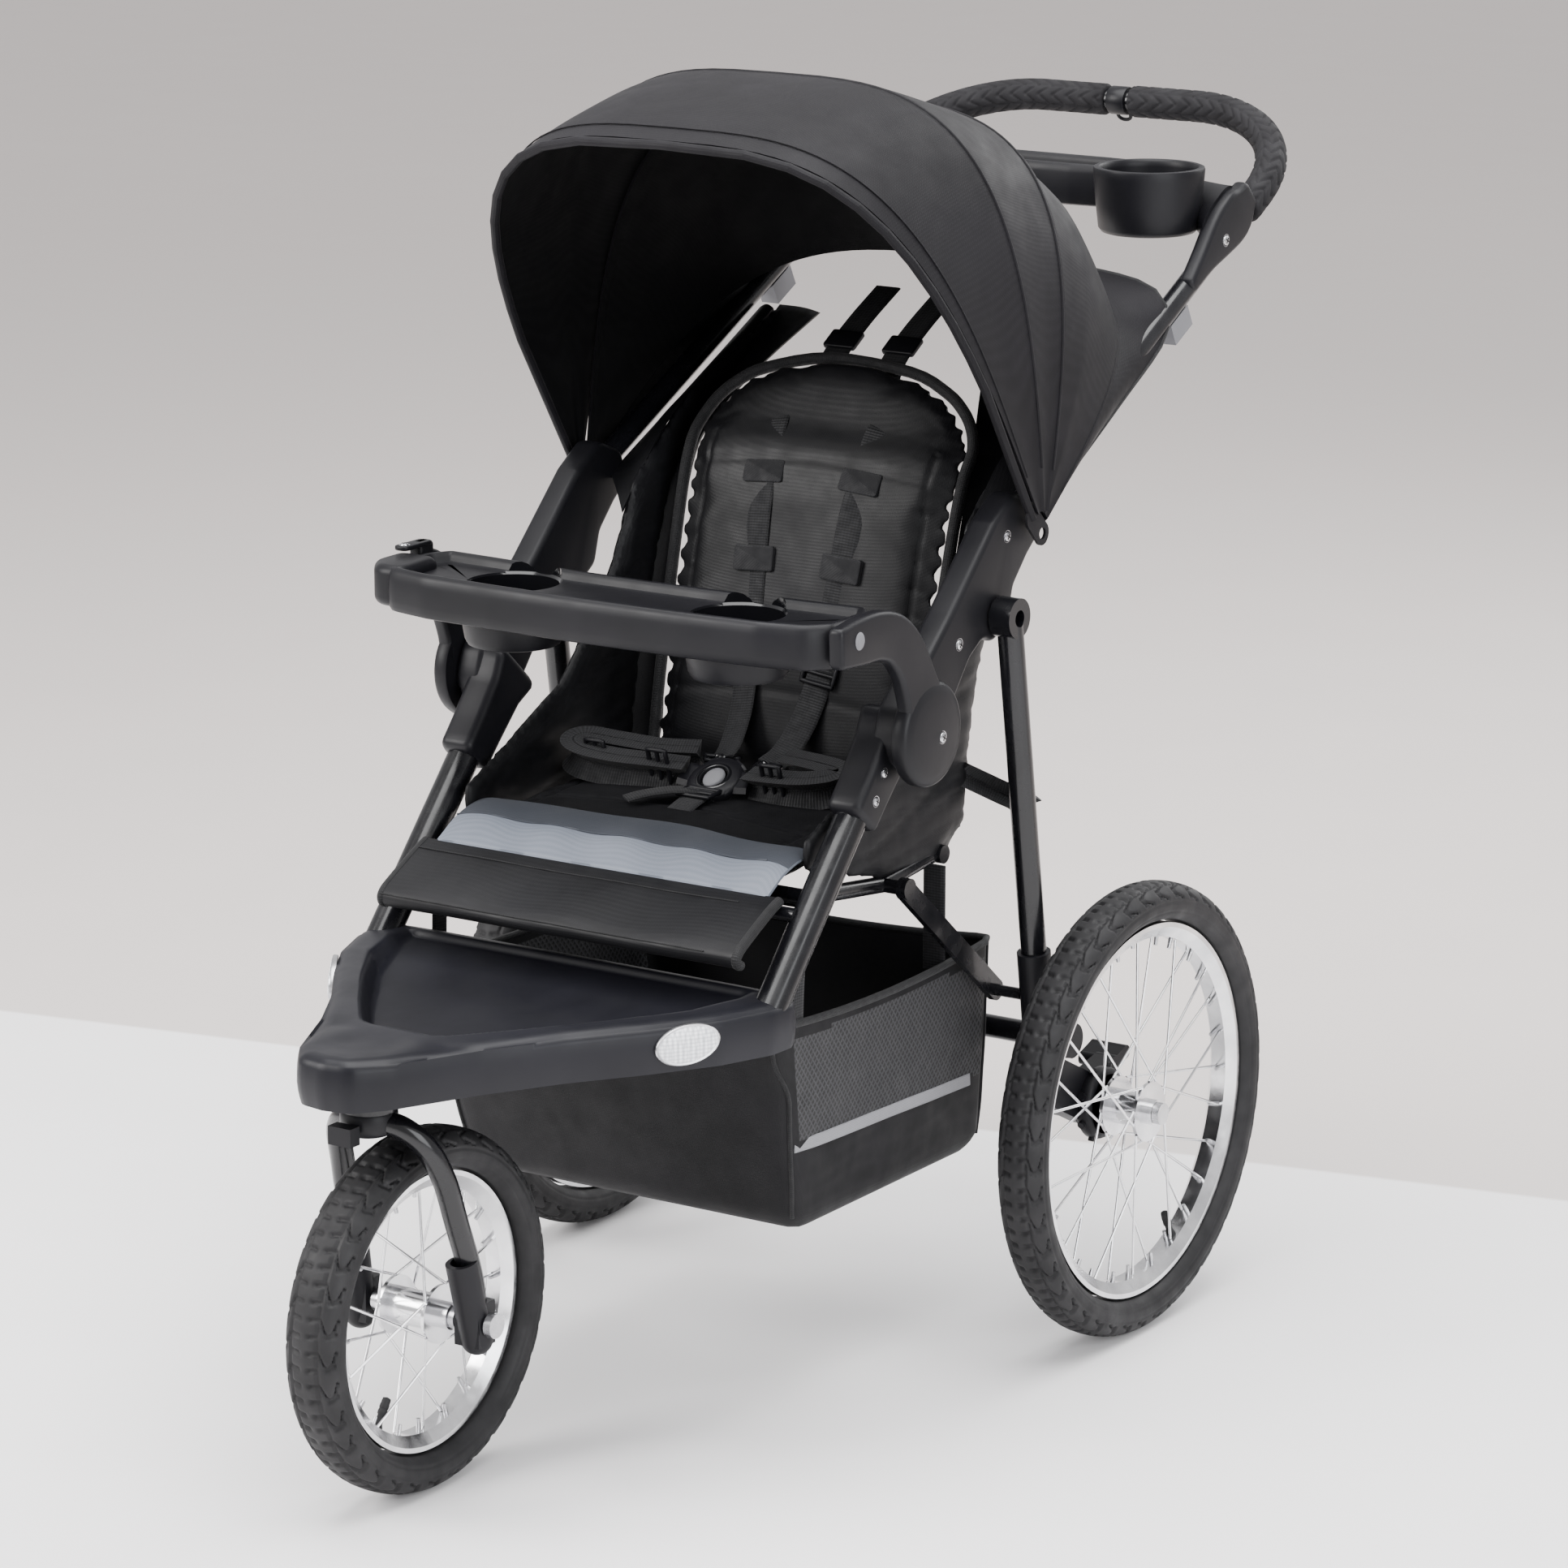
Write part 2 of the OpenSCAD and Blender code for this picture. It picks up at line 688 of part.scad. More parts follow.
// Offset of the seat back's path towards the child.
function back_face(i, gap) =
    let (a = back_path[max(i - 1, 0)], b = back_path[min(i + 1, len(back_path) - 1)],
         d = (b - a) / norm(b - a))
    back_path[i] + gap * [-d[1], d[0]];

module shoulder_straps() {
    near = back_t / 2 + 1;
    far = near + 2;
    lower = back_face(1, near);
    color("black") from_front_axle() for (s = [-1, 1]) on_side(s)
        side_plate(30, 30 + webbing_w)
            polygon([lower, back_face(2, near), (back_face(2, near) + back_face(3, near)) / 2,
                     (back_face(2, far) + back_face(3, far)) / 2, back_face(2, far),
                     back_face(1, far)]);
}

// ---------- rear legs ----------

function down_leg(d) = leg_pivot + leg_dir * d;

module rear_leg(s) {
    top = down_leg(0);
    low = down_leg(400);
    color("black") from_front_axle() on_side(s) difference() {
        union() {
            rod([leg_x, top[0], top[1]], [leg_x, low[0], low[1]], leg_r);
            across(leg_pivot, leg_x - 10, leg_x + 10, 17);
        }
        across(leg_pivot, leg_x - 20, leg_x + 20, 7 + run_gap);
    }
}

module rear_leg_l() { rear_leg(1); }
module rear_leg_r() { rear_leg(-1); }

cross_tube_at = [605, 262];
plate_out_x = leg_x + 11;
housing_out_x = wheel_x - rear_hub_half - 0.6;

module leg_foot(s) {
    a = down_leg(300);
    b = down_leg(428);
    knee = down_leg(418);
    color("dimgray") from_front_axle() on_side(s) difference() {
        union() {
            rod([leg_x, a[0], a[1]], [leg_x, b[0], b[1]], sleeve_r);
            side_plate(leg_x - 9, plate_out_x) {
                bar(knee, rear_axle, 42);
                bar(down_leg(380), cross_tube_at, 30);
            }
            across(rear_axle, plate_out_x - 1, housing_out_x, 26);
            across(rear_axle, leg_x - 31, leg_x - 8, axle_r);
        }
        rod([leg_x, down_leg(200)[0], down_leg(200)[1]],
            [leg_x, down_leg(400.1)[0], down_leg(400.1)[1]], leg_r + seat_gap);
    }
}

module leg_foot_l() { leg_foot(1); }
module leg_foot_r() { leg_foot(-1); }

module cross_tube() {
    color("black") from_front_axle() across(cross_tube_at, -leg_x + 9.2, leg_x - 9.2, 10);
}

module rear_axles() {
    color("silver") from_front_axle() for (s = [-1, 1]) on_side(s) {
        across(rear_axle, housing_out_x + 0.2, wheel_x + rear_hub_half + 2, axle_r);
        across(rear_axle, wheel_x + rear_hub_half + slip, wheel_x + rear_hub_half + 6.5, axle_r + 3.5);
    }
}

module brace(s) {
    color("silver") from_front_axle() on_side(s) {
        difference() {
            side_plate(brace_x, brace_x + brace_t) bar(brace_top, brace_low, 18);
            across(brace_top, brace_x - 1, brace_x + brace_t + 1, 6 + run_gap);
        }
        across(brace_low, brace_x + brace_t - 1, leg_x - sleeve_r - slip, 5);
        across(brace_low, brace_x - 3, brace_x + 1, 8);
    }
}

module brace_l() { brace(1); }
module brace_r() { brace(-1); }

module brake_pedal(s) {
    end = rear_axle + [68, 14];
    color("black") from_front_axle() on_side(s) {
        difference() {
            side_plate(leg_x - 29, leg_x - 9.4) {
                bar(rear_axle, end, 14);
                translate(rear_axle) circle(r = 18);
            }
            across(rear_axle, leg_x - 32, leg_x - 8, axle_r + run_gap);
        }
        side_plate(leg_x - 44, leg_x - 9.4) bar(end, end + [18, 6], 12);
    }
}

module brake_pedal_l() { brake_pedal(1); }
module brake_pedal_r() { brake_pedal(-1); }

// ---------- fork ----------

fork_half = [[44, -34, crown_z + 10], [52, -24, crown_z - 67], [55, -8, front_axle_z + 39]];
fork_foot = [58, 0, front_axle_z - 14];
fork_leg_r = 10;

module fork() {
    color("black") from_front_axle() {
        translate([0, steer_y, crown_z]) cylinder(h = crown_h, r = crown_r);
        translate([-54, -50, crown_z]) cube([108, 28, crown_h]);
        translate([0, steer_y, crown_z]) cylinder(h = head_top_z - crown_z - 5, r = steerer_r);
        for (s = [-1, 1]) on_side(s) tube_path(fork_half, fork_leg_r);
    }
}

module fork_covers() {
    top = fork_half[2] + [-1, -6, 14];
    color("dimgray") from_front_axle() for (s = [-1, 1]) on_side(s) difference() {
        union() {
            rod(top, fork_foot, fork_leg_r + 3);
            translate(fork_foot) sphere(r = fork_leg_r + 3);
            translate([44, -11, front_axle_z - 18]) cube([24, 22, 36]);
        }
        tube_path(fork_half, fork_leg_r + seat_gap);
        across([0, front_axle_z], 30, 80, axle_r + run_gap);
    }
}

module front_axle() {
    color("silver") from_front_axle() {
        across([0, front_axle_z], -74, 74, axle_r);
        for (s = [-1, 1]) on_side(s) {
            across([0, front_axle_z], 71.4, 78, axle_r + 4);
            across([0, front_axle_z], front_hub_half + slip, 41, axle_r + 3);
        }
    }
}

module swivel_lock() {
    color("lightgray") from_front_axle()
        translate([-11, steer_y - crown_r - slip - 12, crown_z + 2]) cube([22, 12, 15]);
}

// ---------- wheels ----------

module wheel_at(x, y, z) {
    from_front_axle() translate([x, y, z]) rotate([0, 90, 0]) children();
}

module tyre(d, w) {
    seat_r = d / 2 - tyre_depth;
    rotate_extrude($fn = 96) difference() {
        translate([d / 2 - w / 2, 0]) circle(r = w / 2, $fn = 48);
        translate([0, -rim_w / 2 - 0.2]) square([seat_r + seat_gap, rim_w + 0.4]);
    }
}

module rim(d) {
    seat_r = d / 2 - tyre_depth;
    in_r = seat_r - rim_depth;
    rotate_extrude($fn = 96)
        polygon([[in_r, -7], [seat_r - 4, -rim_w / 2], [seat_r, -rim_w / 2], [seat_r, rim_w / 2],
                 [seat_r - 4, rim_w / 2], [in_r, 7]]);
}

// Crossed spokes, alternately from each flange.
module spokes(d, count, flange_r, flange_z) {
    out_r = d / 2 - tyre_depth - rim_depth - 0.6;
    in_r = flange_r + 0.6;
    for (i = [0 : count - 1]) {
        side = (i % 2 == 0) ? 1 : -1;
        lean = (floor(i / 2) % 2 == 0) ? 52 : -52;
        a = 360 * i / count;
        rod([in_r * cos(a - lean), in_r * sin(a - lean), side * flange_z],
            [out_r * cos(a), out_r * sin(a), side * 2.5], spoke_d / 2);
    }
}

module hub(half, flange_r, flange_z) {
    rotate_extrude($fn = 64) difference() {
        union() {
            translate([0, -half]) square([11, 2 * half]);
            translate([0, -flange_z]) square([15, 2 * flange_z]);
            for (s = [-1, 1]) translate([0, s * flange_z - 1.6]) square([flange_r, 3.2]);
        }
        translate([0, -half - 1]) square([axle_r + run_gap, 2 * half + 2]);
    }
}

module front_tyre() { color("#1c1c1c") wheel_at(0, 0, front_axle_z) tyre(front_tyre_d, front_tyre_w); }
module front_rim() { color("silver") wheel_at(0, 0, front_axle_z) rim(front_tyre_d); }
module front_spokes_set() {
    color("silver") wheel_at(0, 0, front_axle_z) spokes(front_tyre_d, front_spokes, 24, 22);
}
module front_hub() { color("silver") wheel_at(0, 0, front_axle_z) hub(front_hub_half, 24, 22); }

module rear_wheel_at(s) {
    wheel_at(s * wheel_x, rear_axle[0], rear_axle[1]) children();
}

module rear_tyre_l() { color("#1c1c1c") rear_wheel_at(1) tyre(rear_tyre_d, rear_tyre_w); }
module rear_rim_l() { color("silver") rear_wheel_at(1) rim(rear_tyre_d); }
module rear_spokes_l() { color("silver") rear_wheel_at(1) spokes(rear_tyre_d, rear_spokes, 26, 16); }
module rear_hub_l() { color("silver") rear_wheel_at(1) hub(rear_hub_half, 26, 16); }
module rear_tyre_r() { color("#1c1c1c") rear_wheel_at(-1) tyre(rear_tyre_d, rear_tyre_w); }
module rear_rim_r() { color("silver") rear_wheel_at(-1) rim(rear_tyre_d); }
module rear_spokes_r() { color("silver") rear_wheel_at(-1) spokes(rear_tyre_d, rear_spokes, 26, 16); }
module rear_hub_r() { color("silver") rear_wheel_at(-1) hub(rear_hub_half, 26, 16); }

lower_tube_l();
lower_tube_r();
foot_shell();
reflectors();
steering_head();
lower_bracket_l();
lower_bracket_r();
seat_frame();
foot_panel();
seat_front_strip();
seat_pan();
seat_wings();
buckle();
buckle_button();
harness_straps();
basket();
upper_bracket_l();
upper_bracket_r();
handle_tube();
grip_l();
grip_r();
console();
trigger_l();
trigger_r();
canopy_rear();
canopy_front();
canopy_hem();
tray_arm_l();
tray_arm_r();
tray();
tray_button_l();
tray_button_r();
seat_back();
shoulder_straps();
rear_leg_l();
rear_leg_r();
leg_foot_l();
leg_foot_r();
cross_tube();
rear_axles();
brace_l();
brace_r();
brake_pedal_l();
brake_pedal_r();
fork();
fork_covers();
front_axle();
swivel_lock();
front_tyre();
front_rim();
front_spokes_set();
front_hub();
rear_tyre_l();
rear_rim_l();
rear_spokes_l();
rear_hub_l();
rear_tyre_r();
rear_rim_r();
rear_spokes_r();
rear_hub_r();
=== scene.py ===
"""Jogging stroller: the soft goods, mouldings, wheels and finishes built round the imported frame."""

import logging
import math
from dataclasses import dataclass
from enum import Enum
from typing import Callable, Dict, List, Optional, Sequence, Tuple

import bmesh
import bpy
import numpy as np
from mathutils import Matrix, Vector


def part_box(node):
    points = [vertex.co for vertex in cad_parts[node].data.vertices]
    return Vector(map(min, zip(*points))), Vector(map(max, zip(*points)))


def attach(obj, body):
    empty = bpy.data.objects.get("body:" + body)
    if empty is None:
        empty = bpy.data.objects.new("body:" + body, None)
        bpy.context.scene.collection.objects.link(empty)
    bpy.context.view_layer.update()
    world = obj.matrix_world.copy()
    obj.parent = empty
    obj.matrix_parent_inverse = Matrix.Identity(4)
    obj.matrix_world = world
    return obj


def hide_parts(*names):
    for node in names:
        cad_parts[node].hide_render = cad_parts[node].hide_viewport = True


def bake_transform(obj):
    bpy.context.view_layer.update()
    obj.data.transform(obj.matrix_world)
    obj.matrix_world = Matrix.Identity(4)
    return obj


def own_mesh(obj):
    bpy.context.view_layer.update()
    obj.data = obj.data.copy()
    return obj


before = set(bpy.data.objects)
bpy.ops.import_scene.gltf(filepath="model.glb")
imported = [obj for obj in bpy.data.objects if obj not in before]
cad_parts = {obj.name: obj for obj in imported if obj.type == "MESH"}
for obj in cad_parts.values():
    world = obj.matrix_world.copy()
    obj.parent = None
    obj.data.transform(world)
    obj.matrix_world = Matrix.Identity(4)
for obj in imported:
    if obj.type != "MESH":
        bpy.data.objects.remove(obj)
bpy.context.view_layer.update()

LOG = logging.getLogger("stroller")
MM = 0.001
AXLE_Y = float((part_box("front_tyre")[0][1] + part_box("front_tyre")[1][1]) / 2)

Colour = Tuple[float, float, float]
Array = np.ndarray


# ---------- measures ----------


def metres(points: Array) -> Array:
    """Turns millimetres behind the front axle into the row frame.

    Args:
        points: any array whose last axis is X, Y and Z.

    Returns:
        The same points in metres.
    """
    out = np.asarray(points, float) * MM
    out[..., 1] += AXLE_Y
    return out


def place(x: float, y: float, z: float) -> Tuple[float, float, float]:
    """One point in metres from millimetres behind the front axle."""
    return tuple(float(c) for c in metres(np.array([x, y, z], float)))


def unit(v: Sequence[float]) -> Array:
    """A vector of length one."""
    a = np.asarray(v, float)
    return a / max(float(np.linalg.norm(a)), 1e-12)


def smooth_line(points: Sequence[Sequence[float]], steps: int, closed: bool = False) -> Array:
    """Runs a smooth curve through points.

    Args:
        points: the points to pass, two or more.
        steps: pieces between each pair.
        closed: whether the last point leads back to the first.

    Returns:
        The curve's points.
    """
    p = np.asarray(points, float)
    n = len(p)
    out = []
    for i in range(n if closed else n - 1):
        if closed:
            a, b, c, d = p[(i - 1) % n], p[i], p[(i + 1) % n], p[(i + 2) % n]
        else:
            b, c = p[i], p[i + 1]
            a = p[i - 1] if i > 0 else 2 * b - c
            d = p[i + 2] if i + 2 < n else 2 * c - b
        for k in range(steps):
            t = k / steps
            out.append(0.5 * (2 * b + (c - a) * t + (2 * a - 5 * b + 4 * c - d) * t * t
                              + (3 * b - a - 3 * c + d) * t ** 3))
    if not closed:
        out.append(p[-1])
    return np.array(out)


def rounded_outline(corners: Sequence[Sequence[float]], steps: int = 5) -> Array:
    """A closed flat outline with each corner rounded.

    Args:
        corners: (a, b, radius) of each corner, in order.
        steps: pieces in each rounded corner.

    Returns:
        The outline's points.
    """
    out = []
    n = len(corners)
    for i, (a, b, r) in enumerate(corners):
        here = np.array([a, b], float)
        back = unit(np.array(corners[i - 1][:2], float) - here)
        ahead = unit(np.array(corners[(i + 1) % n][:2], float) - here)
        half = math.acos(float(np.clip(back @ ahead, -1, 1))) / 2
        if r < 0.05 or half > 1.55:
            out.append(here)
            continue
        reach = r / math.tan(half)
        start, end = here + back * reach, here + ahead * reach
        for k in range(steps + 1):
            t = k / steps
            out.append((1 - t) ** 2 * start + 2 * t * (1 - t) * here + t * t * end)
    return np.array(out)


def inset(outline: Array, by: float) -> Array:
    """A closed flat outline moved inwards, for an outline that runs anticlockwise."""
    ahead = np.roll(outline, -1, axis=0) - outline
    ahead /= np.maximum(np.linalg.norm(ahead, axis=1, keepdims=True), 1e-9)
    side = np.stack([-ahead[:, 1], ahead[:, 0]], axis=1)
    both = side + np.roll(side, 1, axis=0)
    both /= np.maximum(np.linalg.norm(both, axis=1, keepdims=True), 1e-9)
    return outline + both * by


def lengths(path: Array) -> Array:
    """How far along a path each of its points lies."""
    return np.concatenate([[0], np.cumsum(np.linalg.norm(np.diff(path, axis=0), axis=1))])


def spread(path: Array, at: Array) -> Array:
    """Points of a path at the lengths given.

    Args:
        path: its points.
        at: lengths along it.

    Returns:
        One point for each length.
    """
    far = lengths(path)
    return np.stack([np.interp(at, far, path[:, k]) for k in range(path.shape[1])], axis=1)


def ringed(corners: Sequence[Array], steps: int) -> Array:
    """Points round a closed outline, with the first two again at its end, so that a rod joins up.

    Args:
        corners: of the outline.
        steps: points to each of its sides.

    Returns:
        The points.
    """
    after = [*corners[1:], corners[0]]
    dense = np.concatenate([np.linspace(a, b, steps, endpoint=False) for a, b in zip(corners, after)])
    return np.vstack([dense, dense[:2]])


def headings(path: Array) -> Array:
    """The way a path runs at each of its points."""
    ahead = np.gradient(path, axis=0)
    return ahead / np.linalg.norm(ahead, axis=1, keepdims=True)


class Side(Enum):
    """The child's left and right."""

    LEFT = 1
    RIGHT = -1

    @property
    def tag(self) -> str:
        """The ending used in piece names."""
        return "l" if self is Side.LEFT else "r"


# ---------- workbench: from rings and grids to an object ----------


class Workpiece:
    """Gathers the faces of one piece, in millimetres behind the front axle, and makes its object."""

    def __init__(self, name: str, *finishes: bpy.types.Material) -> None:
        """Starts an empty piece.

        Args:
            name: the object's name.
            finishes: its materials, in slot order.
        """
        self.name = name
        self.finishes = finishes
        self.points: List[Array] = []
        self.faces: List[Tuple[int, ...]] = []
        self.slots: List[int] = []
        self.maps: List[Array] = []
        self.total = 0

    def add(self, points: Array, faces: Sequence[Sequence[int]], slot: int = 0,
            chart: Optional[Array] = None) -> "Workpiece":
        """Adds loose faces.

        Args:
            points: their corners.
            faces: corner numbers of each face.
            slot: which finish they take.
            chart: a flat place for each corner, in millimetres.

        Returns:
            The piece, so that calls can be chained.
        """
        points = np.asarray(points, float).reshape(-1, 3)
        self.points.append(points)
        self.maps.append(np.zeros((len(points), 2)) if chart is None
                         else np.asarray(chart, float).reshape(-1, 2))
        self.faces += [tuple(int(i) + self.total for i in f) for f in faces]
        self.slots += [slot] * len(faces)
        self.total += len(points)
        return self

    def grid(self, rows: Array, slot: int = 0, wrap: bool = False, flip: bool = False,
             caps: bool = False) -> "Workpiece":
        """Adds a skin through rows of points.

        Args:
            rows: points as [row, column, 3].
            slot: which finish it takes.
            wrap: whether each row closes on itself.
            flip: turns the skin inside out.
            caps: closes the first and the last row.

        Returns:
            The piece.
        """
        rows = np.asarray(rows, float)
        r, c = rows.shape[:2]
        along = np.concatenate([[0], np.cumsum(np.linalg.norm(np.diff(rows.mean(axis=1), axis=0), axis=1))])
        across = np.linalg.norm(np.diff(rows, axis=1), axis=2).mean(axis=0)
        across = np.concatenate([[0], np.cumsum(across)])
        chart = np.stack(np.meshgrid(across, along), axis=-1)
        faces = []
        for i in range(r - 1):
            for j in range(c if wrap else c - 1):
                k = (j + 1) % c
                f = (i * c + j, i * c + k, (i + 1) * c + k, (i + 1) * c + j)
                faces.append(f[::-1] if flip else f)
        if caps:
            first, last = tuple(range(c - 1, -1, -1)), tuple((r - 1) * c + j for j in range(c))
            faces += [first[::-1], last[::-1]] if flip else [first, last]
        return self.add(rows, faces, slot, chart)

    def sweep(self, path: Array, section: Array, up: Sequence[float], slot: int = 0, caps: bool = True,
              widths: Optional[Sequence[float]] = None) -> "Workpiece":
        """Carries a flat closed section along a path.

        Args:
            path: the points it passes.
            section: its outline, across and up.
            up: the way the section's second axis points at the start.
            slot: which finish it takes.
            caps: closes both ends.
            widths: how far the section is scaled at each point.

        Returns:
            The piece.
        """
        path = np.asarray(path, float)
        ahead = np.gradient(path, axis=0)
        rings, top = [], np.asarray(up, float)
        for i, p in enumerate(path):
            t = unit(ahead[i])
            side = unit(np.cross(t, top))
            top = unit(np.cross(side, t))
            k = 1.0 if widths is None else float(widths[i])
            rings.append(p + k * (section[:, :1] * side + section[:, 1:] * top))
        return self.grid(np.array(rings), slot, wrap=True, caps=caps, flip=True)

    def rod(self, path: Array, radius: float, slot: int = 0, sides: int = 16,
            up: Sequence[float] = (0.13, 0.31, 0.94),
            widths: Optional[Sequence[float]] = None) -> "Workpiece":
        """A round bar along a path."""
        turn = np.linspace(0, 2 * math.pi, sides, endpoint=False)
        return self.sweep(path, radius * np.stack([np.cos(turn), np.sin(turn)], axis=1), up, slot, True,
                          widths)

    def strap(self, path: Array, width: float, thick: float, up: Sequence[float],
              slot: int = 0) -> "Workpiece":
        """A flat ribbon with rounded edges along a path, lying square to up."""
        w, h = width / 2, thick / 2
        section = np.array([[-w, 0], [-w + h, -h], [-w * 0.5, -h], [0, -h], [w * 0.5, -h], [w - h, -h],
                            [w, 0], [w - h, h], [w * 0.5, h], [0, h], [-w * 0.5, h], [-w + h, h]])
        return self.sweep(path, section, up, slot)

    def turned(self, profile: Sequence[Sequence[float]], centre: Sequence[float], axis: Sequence[float],
               slot: int = 0, sides: int = 48, stretch: float = 1.0,
               across: Sequence[float] = (0.0, 0.0, 1.0)) -> "Workpiece":
        """A turned shape.

        Args:
            profile: (radius, height) pairs up the axis.
            centre: where height is nought.
            axis: the way that height runs.
            slot: which finish it takes.
            sides: facets round it.
            stretch: scales it along one diameter.
            across: the way of the other diameter.

        Returns:
            The piece.
        """
        w = unit(axis)
        u = np.asarray(across, float) - (np.asarray(across, float) @ w) * w
        u = unit(u) if np.linalg.norm(u) > 1e-3 else unit(np.cross(w, (0.0, 1.0, 0.0)))
        v = np.cross(w, u)
        turn = np.linspace(0, 2 * math.pi, sides, endpoint=False)
        circle = np.cos(turn)[:, None] * u + stretch * np.sin(turn)[:, None] * v
        rows = np.array([np.asarray(centre, float) + r * circle + h * w for r, h in profile])
        return self.grid(rows, slot, wrap=True, caps=True)

    def plate(self, outline: Array, origin: Sequence[float], u: Sequence[float], v: Sequence[float],
              thick: float, edge: float, slot: int = 0, steps: int = 4, crown: float = 0.0) -> "Workpiece":
        """A flat plate with rounded edges.

        Args:
            outline: its outline along u and v, anticlockwise.
            origin: where the outline's nought lies, on the lower face.
            u: the first direction.
            v: the second direction.
            thick: how thick it is along u cross v.
            edge: radius of its edges.
            slot: which finish it takes.
            steps: pieces in each rounded edge.
            crown: how far the middle of the upper face stands proud.

        Returns:
            The piece.
        """
        u, v = unit(u), unit(v)
        w = np.cross(u, v)
        o = np.asarray(origin, float)
        levels = []
        for k in range(steps + 1):
            a = math.pi / 2 * k / steps
            levels.append((edge * (1 - math.sin(a)), edge * (1 - math.cos(a))))
        levels += [(i, thick - h) for i, h in levels[::-1]]
        rows = [o + np.pad(inset(outline, i), ((0, 0), (0, 1))) @ np.array([u, v, w]) + h * w for i,
                h in levels]
        if crown > 0:
            inner = inset(outline, edge)
            middle = inner.mean(axis=0)
            for share in (0.85, 0.6, 0.3, 0.08):
                flat = middle + (inner - middle) * share
                rows.append(o + flat[:, :1] * u + flat[:, 1:] * v + (thick + crown * (1 - share * share)) * w)
        return self.grid(np.array(rows), slot, wrap=True, caps=True)

    def slab(self, top: Array, under: Array, slot: int = 0, lining: int = 0) -> "Workpiece":
        """Adds a sheet with two faces, closed along its four edges.

        Args:
            top: rows of its upper face.
            under: rows of its lower face.
            slot: finish of the upper face and of the edges.
            lining: finish of the lower face.

        Returns:
            The piece.
        """
        top, under = np.asarray(top, float), np.asarray(under, float)
        self.grid(top, slot).grid(under, lining, flip=True)
        for i in (0, -1):
            self.grid(np.array([top[i], under[i]]), slot).grid(np.array([top[:, i], under[:, i]]), slot)
        return self

    def mirrored(self, side: Side) -> "Workpiece":
        """Turns everything so far to the other side of the middle, for the right."""
        if side is Side.RIGHT:
            self.points = [p * [-1, 1, 1] for p in self.points]
            self.faces = [f[::-1] for f in self.faces]
        return self

    def object(self, sharp: float = 38.0) -> bpy.types.Object:
        """Makes the object.

        Args:
            sharp: edges that turn by more than this many degrees stay crisp.

        Returns:
            The object, in metres.
        """
        mesh = bpy.data.meshes.new(self.name)
        mesh.from_pydata(metres(np.concatenate(self.points)).tolist(), [], self.faces)
        chart = mesh.uv_layers.new(name="UVMap")
        corners = np.empty(len(mesh.loops), np.int64)
        mesh.loops.foreach_get("vertex_index", corners)
        flat = np.concatenate(self.maps)[corners] * MM
        chart.data.foreach_set("uv", flat.astype(np.float32).ravel())
        mesh.polygons.foreach_set("material_index", self.slots)
        for finish in self.finishes:
            mesh.materials.append(finish)
        obj = bpy.data.objects.new(self.name, mesh)
        bpy.context.scene.collection.objects.link(obj)
        weld(obj, sharp)
        return obj


def weld(obj: bpy.types.Object, sharp: float) -> None:
    """Joins corners that meet, turns the faces outwards and shades them smooth below an angle."""
    shape = bmesh.new()
    shape.from_mesh(obj.data)
    bmesh.ops.remove_doubles(shape, verts=shape.verts, dist=0.02 * MM)
    bmesh.ops.recalc_face_normals(shape, faces=shape.faces)
    shape.to_mesh(obj.data)
    shape.free()
    obj.data.shade_smooth()
    obj.data.set_sharp_from_angle(angle=math.radians(sharp))


def applied(obj: bpy.types.Object) -> bpy.types.Object:
    """Takes an object's modifiers into its mesh."""
    bpy.context.view_layer.update()
    done = bpy.data.meshes.new_from_object(obj.evaluated_get(bpy.context.evaluated_depsgraph_get()))
    obj.modifiers.clear()
    obj.data = done
    return obj


def subdivided(obj: bpy.types.Object, levels: int) -> bpy.types.Object:
    """Smooths an object by subdivision."""
    modifier = obj.modifiers.new("subdivision", "SUBSURF")
    modifier.levels = modifier.render_levels = levels
    return applied(obj)


def inflated(obj: bpy.types.Object, voxel: float, cap: float, pressure: float = 4.0) -> bpy.types.Object:
    """Stuffs a closed shape: remeshed evenly, blown up as cloth, and held near where it was.

    Args:
        obj: the slack shape.
        voxel: edge of the even mesh, in millimetres.
        cap: how far a point may move, in millimetres.
        pressure: the cloth's inner pressure.

    Returns:
        The same object with its stuffed mesh.
    """
    slots = list(obj.data.materials)
    even = obj.modifiers.new("even", "REMESH")
    even.mode, even.voxel_size = "VOXEL", voxel * MM
    applied(obj)
    before = np.array([v.co for v in obj.data.vertices], float)
    cloth = obj.modifiers.new("stuffing", "CLOTH")
    cloth.settings.use_pressure = True
    cloth.settings.uniform_pressure_force = pressure
    cloth.settings.effector_weights.gravity = 0
    cloth.settings.tension_stiffness = cloth.settings.compression_stiffness = 15
    for step in range(1, 21):
        bpy.context.scene.frame_set(step)
    applied(obj)
    bpy.context.scene.frame_set(1)
    after = np.array([v.co for v in obj.data.vertices], float)
    move = after - before
    far = np.linalg.norm(move, axis=1, keepdims=True)
    kept = before + move * np.minimum(1, cap * MM / np.maximum(far, 1e-9))
    obj.data.vertices.foreach_set("co", kept.ravel())
    obj.data.materials.clear()
    for finish in slots:
        obj.data.materials.append(finish)
    obj.data.shade_smooth()
    return obj


